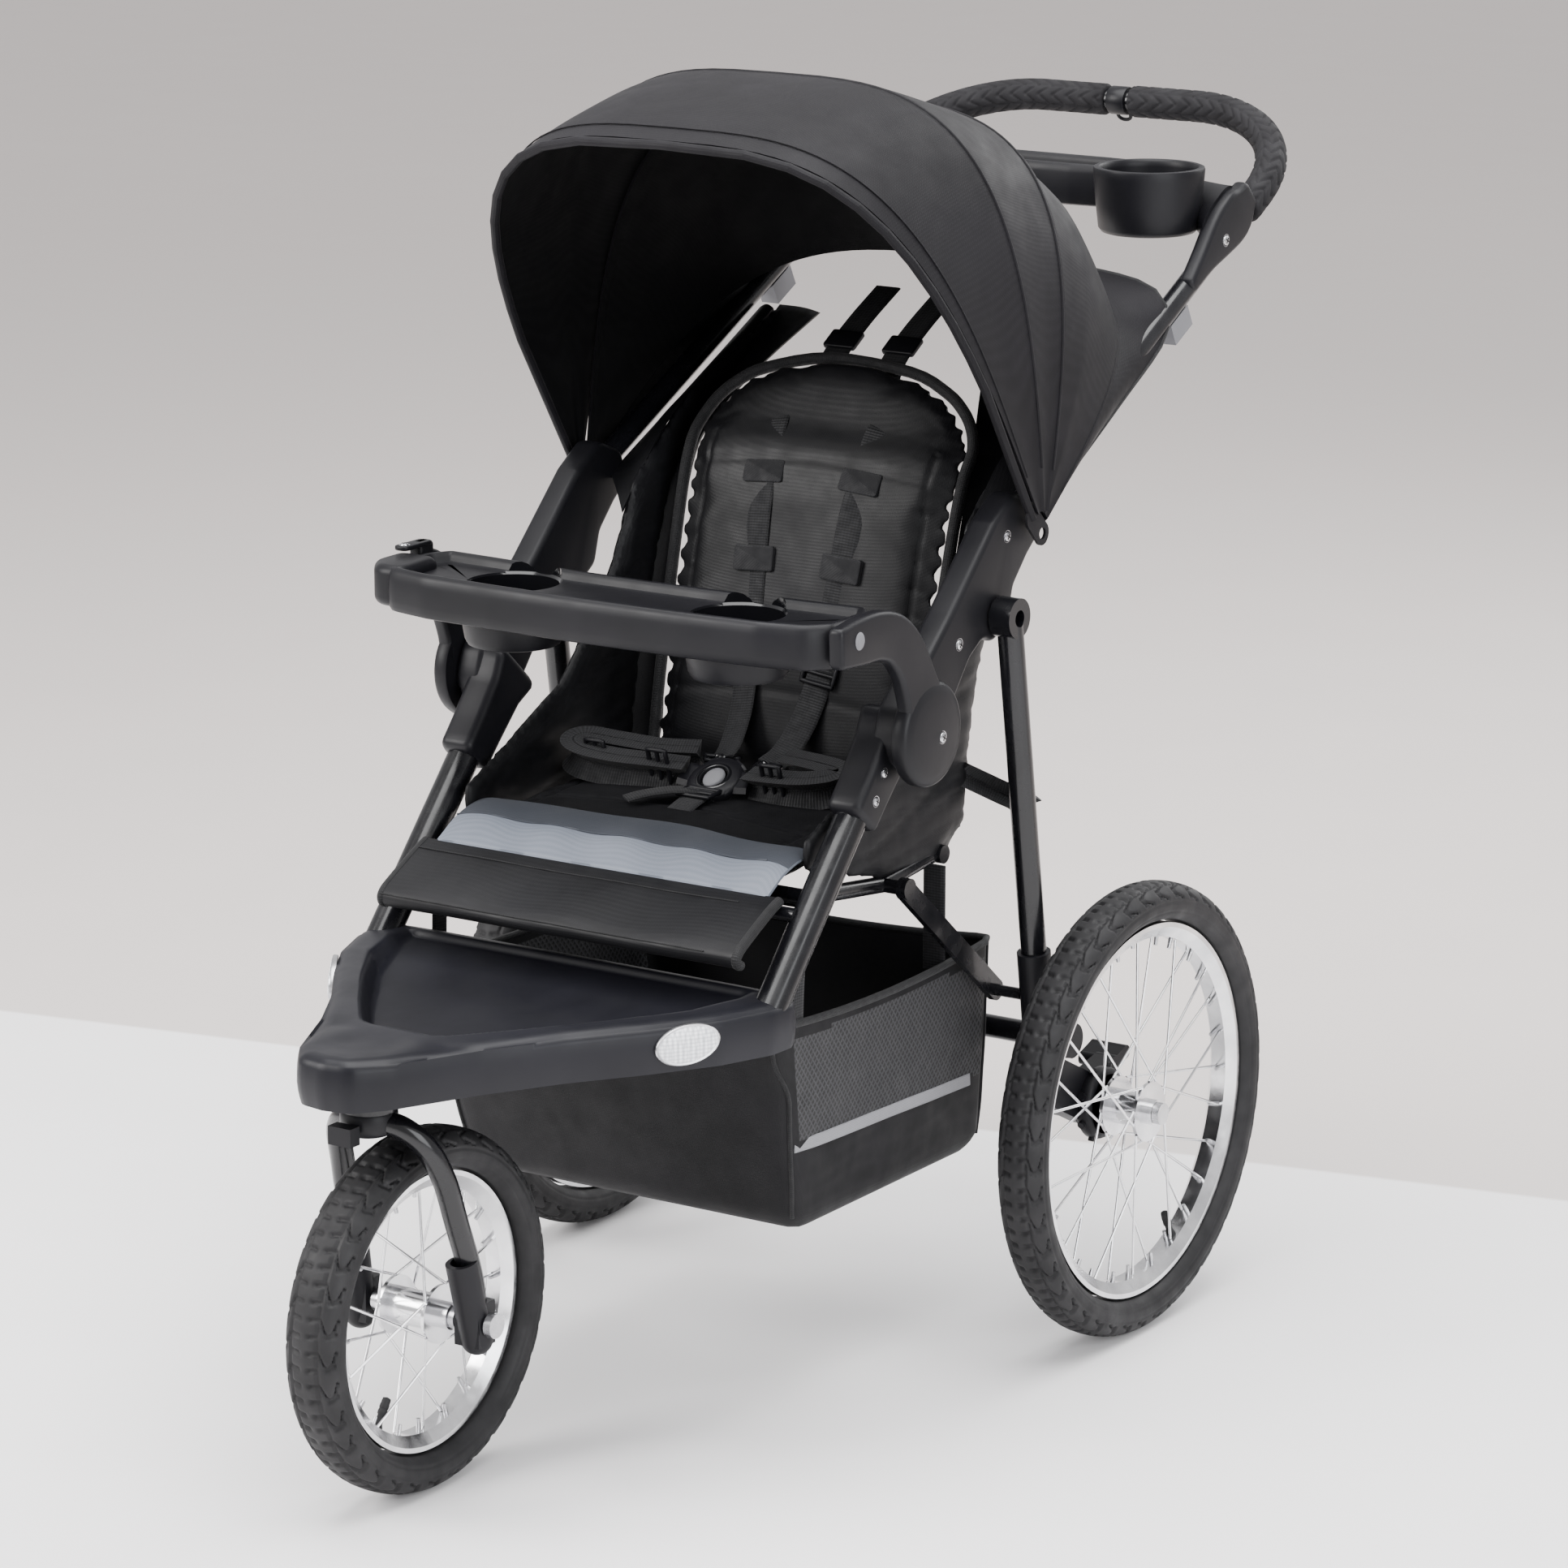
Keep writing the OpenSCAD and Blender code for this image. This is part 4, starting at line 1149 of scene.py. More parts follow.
def blade(piece: Workpiece, path: Array, halves: Sequence[float], x0: float, x1: float, edge: float,
          slot: int = 0) -> Workpiece:
    """A side plate of changing depth along a path in Y and Z, with rounded edges and ends.

    Args:
        piece: where it is added.
        path: its middle line.
        halves: half its depth at each point.
        x0: its inner face.
        x1: its outer face.
        edge: radius of its edges.
        slot: its finish.

    Returns:
        The piece.
    """
    path = np.asarray(path, float)
    ahead = headings(path)
    normal = np.stack([-ahead[:, 1], ahead[:, 0]], axis=1)
    quarter = np.radians(np.linspace(0, 90, 5))
    rows = []
    marks = ([(0, -edge * math.cos(a), edge * (1 - math.sin(a))) for a in quarter[:-1]]
             + [(i, 0.0, 0.0) for i in range(len(path))]
             + [(len(path) - 1, edge * math.cos(a), edge * (1 - math.sin(a))) for a in quarter[:-1][::-1]])
    for i, shift, shrink in marks:
        mid = path[i] + ahead[i] * shift
        h, a0, a1 = halves[i] - shrink, x0 + shrink * 0.6, x1 - shrink * 0.6
        r = min(edge, h * 0.9, (a1 - a0) * 0.49)
        ring = []
        for cx, ch, start in ((a1 - r, h - r, 0), (a0 + r, h - r, 90), (a0 + r, -h + r, 180),
                              (a1 - r, -h + r, 270)):
            for q in np.radians(np.linspace(start, start + 90, 5)):
                side = ch + r * math.sin(q)
                at = mid + normal[i] * side
                ring.append([cx + r * math.cos(q), at[0], at[1]])
        rows.append(ring)
    return piece.grid(np.array(rows), slot, wrap=True, caps=True)


@dataclass
class FootShell:
    """The sculpted foot deck over the front wheel, with its reflectors."""

    foot_z: float = 343.8
    rim_z: float = 385.4
    recess_z: float = 352.5
    bulge: float = 5.0
    outline: Tuple[Tuple[float, float, float], ...] = ((0, -118, 0), (24, -114, 14), (44, -88, 18),
                                                       (79, -16, 30), (115, 44, 40), (156, 100, 40),
                                                       (188, 150, 30), (207, 198, 22), (209, 234, 14),
                                                       (150, 237, 20), (0, 238, 0))

    def plan(self) -> Array:
        """The deck's outline, with many points."""
        mirrored = [(-x, y, r) for x, y, r in self.outline[-2:0:-1]]
        ring = rounded_outline([*self.outline, *mirrored], 6)
        closed = np.vstack([ring, ring[:1]])
        return spread(closed, np.linspace(0, lengths(closed)[-1], 260, endpoint=False))

    def height(self, x: Array, y: Array) -> Array:
        """Top of the deck over a place.

        Args:
            x: across.
            y: back from the front axle.

        Returns:
            Height above the ground.
        """
        ax = np.abs(x)
        half = np.interp(y, [-30, -12, 30, 90, 150, 200], [18, 44, 78, 122, 160, 176])
        side = np.clip((half - ax) / 13, 0, 1)
        front = np.clip((y + 18) / 22, 0, 1)
        back = np.clip((224 - y) / 7, 0, 1)
        inside = side * side * (3 - 2 * side) * front * front * (3 - 2 * front)
        rise = np.clip((y - 40) / 176, 0, 1)
        floor = self.recess_z + (self.rim_z - 5 - self.recess_z) * rise ** 1.5
        nose = np.exp(-((y + 62) / 26) ** 2) * np.exp(-(ax / 30) ** 4) * 3.2
        lip = self.rim_z + 1.2 * np.clip((y - 150) / 80, 0, 1) - 2.0 * np.clip((ax - half) / 30, 0, 1.3) ** 2
        step = back * back * (3 - 2 * back)
        return lip - nose - (lip - floor) * inside * step

    def deck(self) -> bpy.types.Object:
        """The shell itself."""
        plan = self.plan()
        spine = np.stack([np.zeros(len(plan)), np.clip(plan[:, 1], -64, 190)], axis=1)
        rows = []
        tall = self.rim_z - self.foot_z
        for share in (0.0, 0.5, 0.9, 0.97):
            flat = spine + (plan - spine) * share
            rows.append(np.column_stack([flat, np.full(len(plan), self.foot_z)]))
        for rise in (0.0, 0.04, 0.12, 0.25, 0.42, 0.6, 0.76, 0.87):
            out = self.bulge * math.sin(math.pi * min(1, rise * 0.8 + 0.12)) - 2.2
            flat = inset(plan, -out if np.cross(plan[1] - plan[0], spine[0] - plan[0]) > 0 else out)
            rows.append(np.column_stack([flat, np.full(len(plan), self.foot_z + tall * rise)]))
        for move, drop in ((1.6, 3.4), (4.0, 1.5), (8.0, 0.4)):
            flat = inset(plan, move)
            rows.append(np.column_stack([flat, self.height(flat[:, 0], flat[:, 1]) - drop]))
        inner = inset(plan, 12)
        for share in np.linspace(1, 0, 52):
            flat = spine + (inner - spine) * share
            rows.append(np.column_stack([flat, self.height(flat[:, 0], flat[:, 1])]))
        piece = Workpiece("foot_deck", finish(Finish.SHELL))
        return piece.grid(np.array(rows), wrap=True).object(70)

    def lenses(self) -> bpy.types.Object:
        """The two oval reflectors in their bezels."""
        piece = Workpiece("reflector_lenses", finish(Finish.LENS), finish(Finish.STEEL))
        for side in Side:
            s = side.value
            out = unit([s * 50, -34, 6])
            along = unit([s * 34, 50, 9])
            middle = np.array([s * 177.2, 123.0, 366.5])
            lens = [(0.4, -3), (25.5, -3), (25.6, 0.6), (24.4, 1.7), (18, 2.6), (9, 3.1), (0.4, 3.2)]
            piece.turned(lens, middle, out, 0, 56, 0.56, along)
            bezel = [(25.2, -3), (27.6, -3), (27.8, 0.4), (26.8, 1.3), (25.4, 0.9)]
            piece.turned(bezel, middle, out, 1, 56, 0.58, along)
        return piece.object(50)

    def build(self) -> None:
        """Builds the deck and its lenses."""
        settle(self.deck(), "front_frame", "foot_shell", slot="black_plastic")
        settle(self.lenses(), "front_frame", "reflectors", slot="white_lens")


@dataclass
class SideJoints:
    """Moulded brackets, joint covers and tray arms at each side."""

    joint: Tuple[float, float] = (389.0, 573.0)
    foot: Tuple[float, float] = (334.5, 512.2)
    cover: float = 44.0
    lower_x: Tuple[float, float] = (179.0, 211.5)
    upper_x: Tuple[float, float] = (197.6, 222.6)
    arm_x: Tuple[float, float] = (224.0, 238.0)
    arm_path: Tuple[Tuple[float, float], ...] = ((256, 667.5), (285, 668.5), (314, 668), (338, 660),
                                                 (358, 641), (373, 613), (382, 590), (389, 573))
    arm_half: Tuple[float, ...] = (17, 20, 20.5, 21, 22, 24, 29, 34)
    split_y: float = 313.0
    hinge: Tuple[float, float] = (230.75, 300.0)
    ear_z: Tuple[Tuple[float, float], ...] = ((642.0, 646.0), (688.3, 692.3))

    def lower(self, side: Side) -> bpy.types.Object:
        """The lower bracket, a sleeve over the frame tube with two screws."""
        piece = Workpiece(f"lower_sleeve_{side.tag}", finish(Finish.PLASTIC), finish(Finish.STEEL),
                          finish(Finish.TUBE))
        path = smooth_line([self.foot, (352, 531.5), (371, 553), self.joint], 4)
        halves = np.interp(np.linspace(0, 1, len(path)), [0, 0.3, 0.75, 1], [20, 20.5, 23, 30])
        blade(piece, path, halves, *self.lower_x, 7)
        spots = [(self.lower_x[1] - 0.2, 343.5, 522.5), (self.lower_x[1] - 0.2, 356.0, 543.5)]
        screws(piece, spots, (1, 0, 0), 1, 3.6)
        return piece.mirrored(side).object()

    def upper(self, side: Side) -> bpy.types.Object:
        """The upper bracket, with its three screws."""
        piece = Workpiece(f"upper_plate_{side.tag}", finish(Finish.PLASTIC), finish(Finish.STEEL),
                          finish(Finish.TUBE))
        outline = rounded_outline([(414, 548, 12), (470, 618, 24), (492, 632, 16), (508, 625, 14),
                                   (531, 640, 16), (539, 668, 18), (560, 690, 22), (580, 706, 16),
                                   (572, 734, 14), (538, 748, 18), (506, 727, 20), (440, 662, 60),
                                   (364, 594, 26), (352, 560, 30), (384, 536, 26)], 6)
        piece.plate(outline, (self.upper_x[0], 0, 0), (0, 1, 0), (0, 0, 1),
                    self.upper_x[1] - self.upper_x[0], 5.5, 0, 5)
        spots = [(self.upper_x[1] - 0.2, y, z) for y, z in ((452, 634), (518, 657), (526, 712))]
        screws(piece, spots, (1, 0, 0), 1, 4.2)
        return piece.mirrored(side).object()

    def ears(self, piece: Workpiece) -> None:
        """Adds the ears that hold the tray's hinge pin, over and under its knuckle."""
        x, y = self.hinge
        for low, high in self.ear_z:
            ear = rounded_outline([(x - 7, y - 7.5, 6), (x + 7, y - 7.5, 6), (x + 7, y + 30, 3),
                                   (x - 7, y + 30, 3)], 6)
            piece.plate(ear, (0, 0, low), (1, 0, 0), (0, 1, 0), high - low, 1.2, 0, 3)
        web = rounded_outline([(x - 6.6, y + 14, 4), (x + 6.6, y + 14, 4), (x + 6.6, y + 34, 5),
                               (x - 6.6, y + 34, 5)], 5)
        piece.plate(web, (0, 0, self.ear_z[0][0]), (1, 0, 0), (0, 1, 0),
                    self.ear_z[1][1] - self.ear_z[0][0], 4, 0, 5)
        screws(piece, [(x, y, self.ear_z[1][1])], (0, 0, 1), 1, 3.6)

    def arm(self, side: Side) -> bpy.types.Object:
        """The tray arm with its domed joint cover."""
        piece = Workpiece(f"tray_arm_cover_{side.tag}", finish(Finish.PLASTIC), finish(Finish.STEEL),
                          finish(Finish.TUBE))
        path = smooth_line(self.arm_path, 4)
        halves = smooth_line([(h, 0) for h in self.arm_half], 4)[:, 0]
        if side is Side.RIGHT:
            kept = path[:, 0] > self.split_y + 4
            path, halves = path[kept], halves[kept]
        blade(piece, path, halves, *self.arm_x, 4.5)
        if side is Side.RIGHT:
            self.ears(piece)
        y, z = self.joint
        dome = [(0.4, 224.2), (self.cover - 1, 224.2), (self.cover, 226), (self.cover, 234),
                (self.cover - 1.2, 236.6), (self.cover - 4, 238.2), (self.cover - 12, 239.6),
                (self.cover * 0.45, 240.6), (0.4, 241.0)]
        piece.turned(dome, (0, y, z), (1, 0, 0), 0, 72)
        screws(piece, [(240.6, y + 9, z - 4)], (1, 0, 0), 1, 4.4)
        return piece.mirrored(side).object()

    def buttons(self, side: Side) -> bpy.types.Object:
        """The oval release button of the tray."""
        piece = Workpiece(f"tray_release_{side.tag}", finish(Finish.GREY))
        cap = [(0.3, -3), (7.2, -3), (7.4, 1.0), (6.4, 2.0), (3.2, 2.6), (0.3, 2.7)]
        return piece.turned(cap, (237.2, 277, 671), (1, 0, 0), 0, 32, 0.86).mirrored(side).object()

    def build(self) -> None:
        """Builds both sides."""
        for side in Side:
            t = side.tag
            settle(self.lower(side), "front_frame", f"lower_bracket_{t}", slot="black_plastic")
            settle(self.upper(side), "upper_frame", f"upper_bracket_{t}", slot="black_plastic")
            settle(self.arm(side), "tray_arms", f"tray_arm_{t}", slot="black_plastic")
            word = "left" if side is Side.LEFT else "right"
            settle(self.buttons(side), f"tray_button_{word}", f"tray_button_{t}", slot="grey_plastic")


def bored(obj: bpy.types.Object, *cutters: bpy.types.Object) -> bpy.types.Object:
    """Cuts closed shapes out of an object, and clears them away."""
    for cutter in cutters:
        cut = obj.modifiers.new("bore", "BOOLEAN")
        cut.operation, cut.solver, cut.object = "DIFFERENCE", "EXACT", cutter
        applied(obj)
        bpy.data.objects.remove(cutter)
    obj.data.shade_smooth()
    obj.data.set_sharp_from_angle(angle=math.radians(38))
    return obj


@dataclass
class ChildTray:
    """The child's swing-open tray with two cup wells."""

    front: float = 231.0
    foot_z: float = 647.0
    top_z: float = 685.0
    well: Tuple[float, float] = (112.0, 292.0)
    bore: float = 38.0
    well_foot: float = 623.5
    outline: Tuple[Tuple[float, float, float], ...] = ((0, -1, 0), (95, 1, 60), (165, 5, 50), (206, 14, 18),
                                                       (222.6, 32, 10), (222.6, 84, 12), (209, 107, 12),
                                                       (150, 104, 30), (70, 98, 60), (0, 97, 0))

    def plan(self) -> Array:
        """The tray's outline."""
        half = list(self.outline)
        mirrored = [(-x, y, r) for x, y, r in half[-2:0:-1]]
        ring = rounded_outline([(x, y + self.front, r) for x, y, r in half + mirrored], 7)
        closed = np.vstack([ring, ring[:1]])
        return spread(closed, np.linspace(0, lengths(closed)[-1], 240, endpoint=False))

    def board(self) -> bpy.types.Object:
        """The dished board with a rounded rim and bulged front."""
        plan = self.plan()
        levels = [(14, 0), (6, 0.2), (2.6, 1.6), (0.8, 5), (0.2, 11), (0.0, 19), (0.4, 27), (1.4, 33),
                  (3.2, 36.4), (5.4, 37.8), (8.0, 37.6), (10.0, 36.0), (11.2, 33.0), (12.2, 30.4),
                  (14.5, 29.2), (19, 29.0)]
        rows = [np.column_stack([inset(plan, i), np.full(len(plan), self.foot_z + h)]) for i, h in levels]
        middle = np.stack([np.clip(plan[:, 0], -150, 150), np.full(len(plan), self.front + 49)], axis=1)
        edge = inset(plan, 19)
        for share in (0.8, 0.5, 0.2, 0.0):
            rows.append(np.column_stack([middle + (edge - middle) * share,
                                         np.full(len(plan), self.foot_z + 29)]))
        inner = inset(plan, 14)
        for share in (0.7, 0.35, 0.0):
            rows.insert(0, np.column_stack([middle + (inner - middle) * share,
                                            np.full(len(plan), self.foot_z)]))
        piece = Workpiece("child_tray", finish(Finish.PLASTIC), finish(Finish.GLOSS), finish(Finish.STEEL))
        piece.grid(np.array(rows), wrap=True)
        for side in Side:
            x = side.value * self.well[0]
            cup = [(0.4, self.well_foot), (34, self.well_foot), (38.5, self.well_foot + 1.5),
                   (41, self.well_foot + 6), (44.5, self.foot_z + 3), (44.5, self.foot_z + 12),
                   (0.4, self.foot_z + 12)]
            piece.turned(cup, (x, self.well[1], 0), (0, 0, 1), 0, 64)
        board = piece.object(38)
        cutters = []
        for side in Side:
            x = side.value * self.well[0]
            hole = [(0.4, self.well_foot + 5.5), (self.bore - 4, self.well_foot + 5.5),
                    (self.bore - 1, self.well_foot + 8), (self.bore, self.well_foot + 14),
                    (self.bore, self.foot_z + 27.5), (self.bore + 2.2, self.foot_z + 29.6),
                    (self.bore + 2.4, self.foot_z + 44), (0.4, self.foot_z + 44)]
            cutter = Workpiece("well_cutter", finish(Finish.GLOSS))
            cutters.append(cutter.turned(hole, (x, self.well[1], 0), (0, 0, 1)).object())
        return bored(board, *cutters)

    def knuckle(self) -> bpy.types.Object:
        """The far end of the tray, a short length of arm up to the hinge."""
        piece = Workpiece("tray_knuckle", finish(Finish.PLASTIC))
        outline = rounded_outline([(194, 247, 16), (224, 249, 20), (240, 270, 20), (241, 308, 14),
                                   (198, 308, 14)], 7)
        piece.plate(outline, (0, 0, 650), (1, 0, 0), (0, 1, 0), 35.5, 8, 0, 6)
        return piece.mirrored(Side.RIGHT).object()

    def build(self) -> None:
        """Builds the tray."""
        settle(self.board(), "tray", "tray", slot="black_plastic")
        settle(self.knuckle(), "tray", slot="black_plastic")


# ---------- handle and parent console ----------


@dataclass
class Handle:
    """Foam grips on the handle tube, the middle clip and the parent console."""

    start: Tuple[float, float] = (505.0, 698.0)
    middle: Tuple[float, float] = (1085.0, 1000.0)
    foot_x: float = 210.0
    side_x: float = 204.0
    bend: float = 125.0
    grip_r: float = 14.4
    relief: float = 1.5
    split: float = 13.0
    cup: Tuple[float, float, float] = (150.0, 878.0, 916.0)
    bore: float = 42.0

    def point(self, x: float, along: float) -> Array:
        """A place in the handle's own plane."""
        run = np.array(self.middle) - np.array(self.start)
        y, z = np.array(self.start) + unit(run) * along
        return np.array([x, y, z])

    def normal(self) -> Array:
        """The way the handle's plane faces, upwards."""
        run = unit(np.array(self.middle) - np.array(self.start))
        return np.array([0.0, -run[1], run[0]])

    def middle_line(self, first: float, to_x: float) -> Array:
        """The tube's middle line, from a length up the side to a place on the straight middle."""
        length = float(np.hypot(self.middle[0] - self.start[0], self.middle[1] - self.start[1]))
        top = length - self.bend
        slope = (self.side_x - self.foot_x) / top
        side = [self.point(self.foot_x + slope * a, a) for a in np.linspace(first, top, 14)]
        centre = self.side_x - self.bend
        bend = [self.point(centre + self.bend * math.cos(t), top + self.bend * math.sin(t))
                for t in np.linspace(0, math.pi / 2, 60)[1:]]
        straight = [self.point(x, length) for x in np.linspace(centre, to_x, 26)[1:]]
        return np.array(side + bend + straight)

    def grip(self, side: Side) -> bpy.types.Object:
        """One foam grip, embossed with slanting braid."""
        path = self.middle_line(505.0, self.split)
        full = lengths(path)[-1]
        fine = np.linspace(0, full, 250)
        path = spread(path, fine)
        ahead = np.gradient(path, axis=0)
        turns = np.linspace(0, 2 * math.pi, 64, endpoint=False)
        up, rows = self.normal(), []
        for i, p in enumerate(path):
            across = unit(np.cross(ahead[i], up))
            fold = np.abs(((turns / math.pi * 2.5) % 1.0) - 0.5) * 2
            wave = (fine[i] / 15.0 + fold * 0.9) % 1.0
            cut = np.clip(1.3 - np.abs(wave - 0.5) / 0.14, 0, 1) + np.clip(1.2 - fold / 0.1, 0, 1) * 0.7
            end = min(1.0, min(fine[i], full - fine[i]) / 3.0)
            rounding = 2.5 * (1 - math.sqrt(max(0.0, 1 - (1 - end) ** 2)))
            r = self.grip_r - self.relief * np.clip(cut, 0, 1) * end - rounding
            rows.append(p + (r * np.cos(turns))[:, None] * across + (r * np.sin(turns))[:, None] * up)
        rows.insert(0, path[0] + (rows[0] - path[0]) * 0.72)
        rows.append(path[-1] + (rows[-1] - path[-1]) * 0.72)
        piece = Workpiece(f"foam_grip_{side.tag}", finish(Finish.FOAM))
        return piece.grid(np.array(rows), wrap=True, caps=True).mirrored(side).object(75)

    def clip(self) -> bpy.types.Object:
        """The collar and small loop between the grips."""
        piece = Workpiece("handle_clip", finish(Finish.PLASTIC))
        y, z = self.middle
        collar = [(10.1, -9), (12.4, -9), (13, -8), (13, 8), (12.4, 9), (10.1, 9)]
        piece.turned(collar, (0, y, z), (1, 0, 0), 0, 40)
        down = -self.normal()
        loop = [np.array([x, y, z]) + down * d for x,
                d in ((-6, 10), (-6.5, 17), (-3, 20.5), (3, 20.5), (6.5, 17), (6, 10))]
        piece.rod(smooth_line(loop, 5), 1.7, 0, 12)
        return piece.object()

    def cups(self, piece: Workpiece) -> None:
        """Adds both cup holders."""
        x, y, z = self.cup
        wall = [(0.4, 0), (37, 0), (41, 1.2), (44, 5), (46.5, 26), (48.6, 50), (49, 56), (48.4, 57.8),
                (46.4, 58.6), (43.8, 58.2), (42.4, 56.4), (42.1, 52), (self.bore, 12), (40, 8), (36, 6.4),
                (0.4, 6.2)]
        for side in Side:
            piece.turned(wall, (x * side.value, y, z), (0, 0, 1), 0, 72)

    def deck(self, piece: Workpiece) -> None:
        """Adds the middle tray, swept forward between the cups."""
        corners = [(-112, 951, 20), (-112, 897, 22), (-60, 892, 50), (60, 892, 50), (112, 897, 22),
                   (112, 951, 20), (60, 954, 40), (-60, 954, 40)]
        plan = rounded_outline(corners, 7)
        levels = [(9, 930.5), (4, 931), (1.4, 932.5), (0.2, 936), (0, 948), (0.3, 960), (1.2, 965),
                  (3, 967.6), (5, 967.8), (6.6, 966.2), (7.6, 962), (8.4, 945), (10, 939), (15, 936.6),
                  (24, 936)]
        rows = [np.column_stack([inset(plan, i), np.full(len(plan), h)]) for i, h in levels]
        piece.grid(np.array(rows), 0, wrap=True, caps=True)

    def wings(self, piece: Workpiece, side: Side) -> None:
        """Adds the arm from one cup to the handle tube."""
        s = side.value
        spine = smooth_line([(98, 926, 944), (128, 930, 944), (160, 926, 941), (188, 916, 936),
                             (207, 905, 930)], 6)
        halves = smooth_line([(25, 14, 0), (22, 13, 0), (21, 12, 0), (26, 14, 0), (33, 19, 0)], 6)
        run = unit((0, 0.86, 0.51))
        top = unit((0, -0.51, 0.86))
        rows = []
        for p, (deep, tall, _) in zip(spine, halves):
            t = np.linspace(0, 2 * math.pi, 40, endpoint=False)
            a = deep * np.sign(np.cos(t)) * np.abs(np.cos(t)) ** 0.6
            b = tall * np.sign(np.sin(t)) * np.abs(np.sin(t)) ** 0.7
            rows.append((p + a[:, None] * run + b[:, None] * top) * [s, 1, 1])
        piece.grid(np.array(rows), 0, wrap=True, caps=True, flip=s < 0)
        plate = Workpiece("wing", piece.finishes[0])
        path = smooth_line([(846, 880), (868, 897), (897, 917), (925, 932), (941, 946)], 5)
        deep = smooth_line([(8, 0), (13, 0), (22, 0), (24, 0), (15, 0)], 5)[:, 0]
        blade(plate, path, deep, 202.6, 217.4, 5.0)
        plate.mirrored(side)
        for points in plate.points:
            piece.add(points, plate.faces, 0)
        screws(piece, [(217.2 * s, 897, 912)], (s, 0, 0), 1, 4.4)

    def console(self) -> bpy.types.Object:
        """The parent console."""
        piece = Workpiece("parent_console", finish(Finish.PLASTIC), finish(Finish.STEEL), finish(Finish.TUBE))
        self.cups(piece)
        self.deck(piece)
        for side in Side:
            self.wings(piece, side)
        return piece.object(40)

    def build(self) -> None:
        """Builds the handle's pieces."""
        for side in Side:
            settle(self.grip(side), "upper_frame", f"grip_{side.tag}", slot="foam")
        settle(self.clip(), "upper_frame", slot="black_plastic")
        settle(self.console(), "upper_frame", "console", slot="black_plastic")


# ---------- canopy ----------


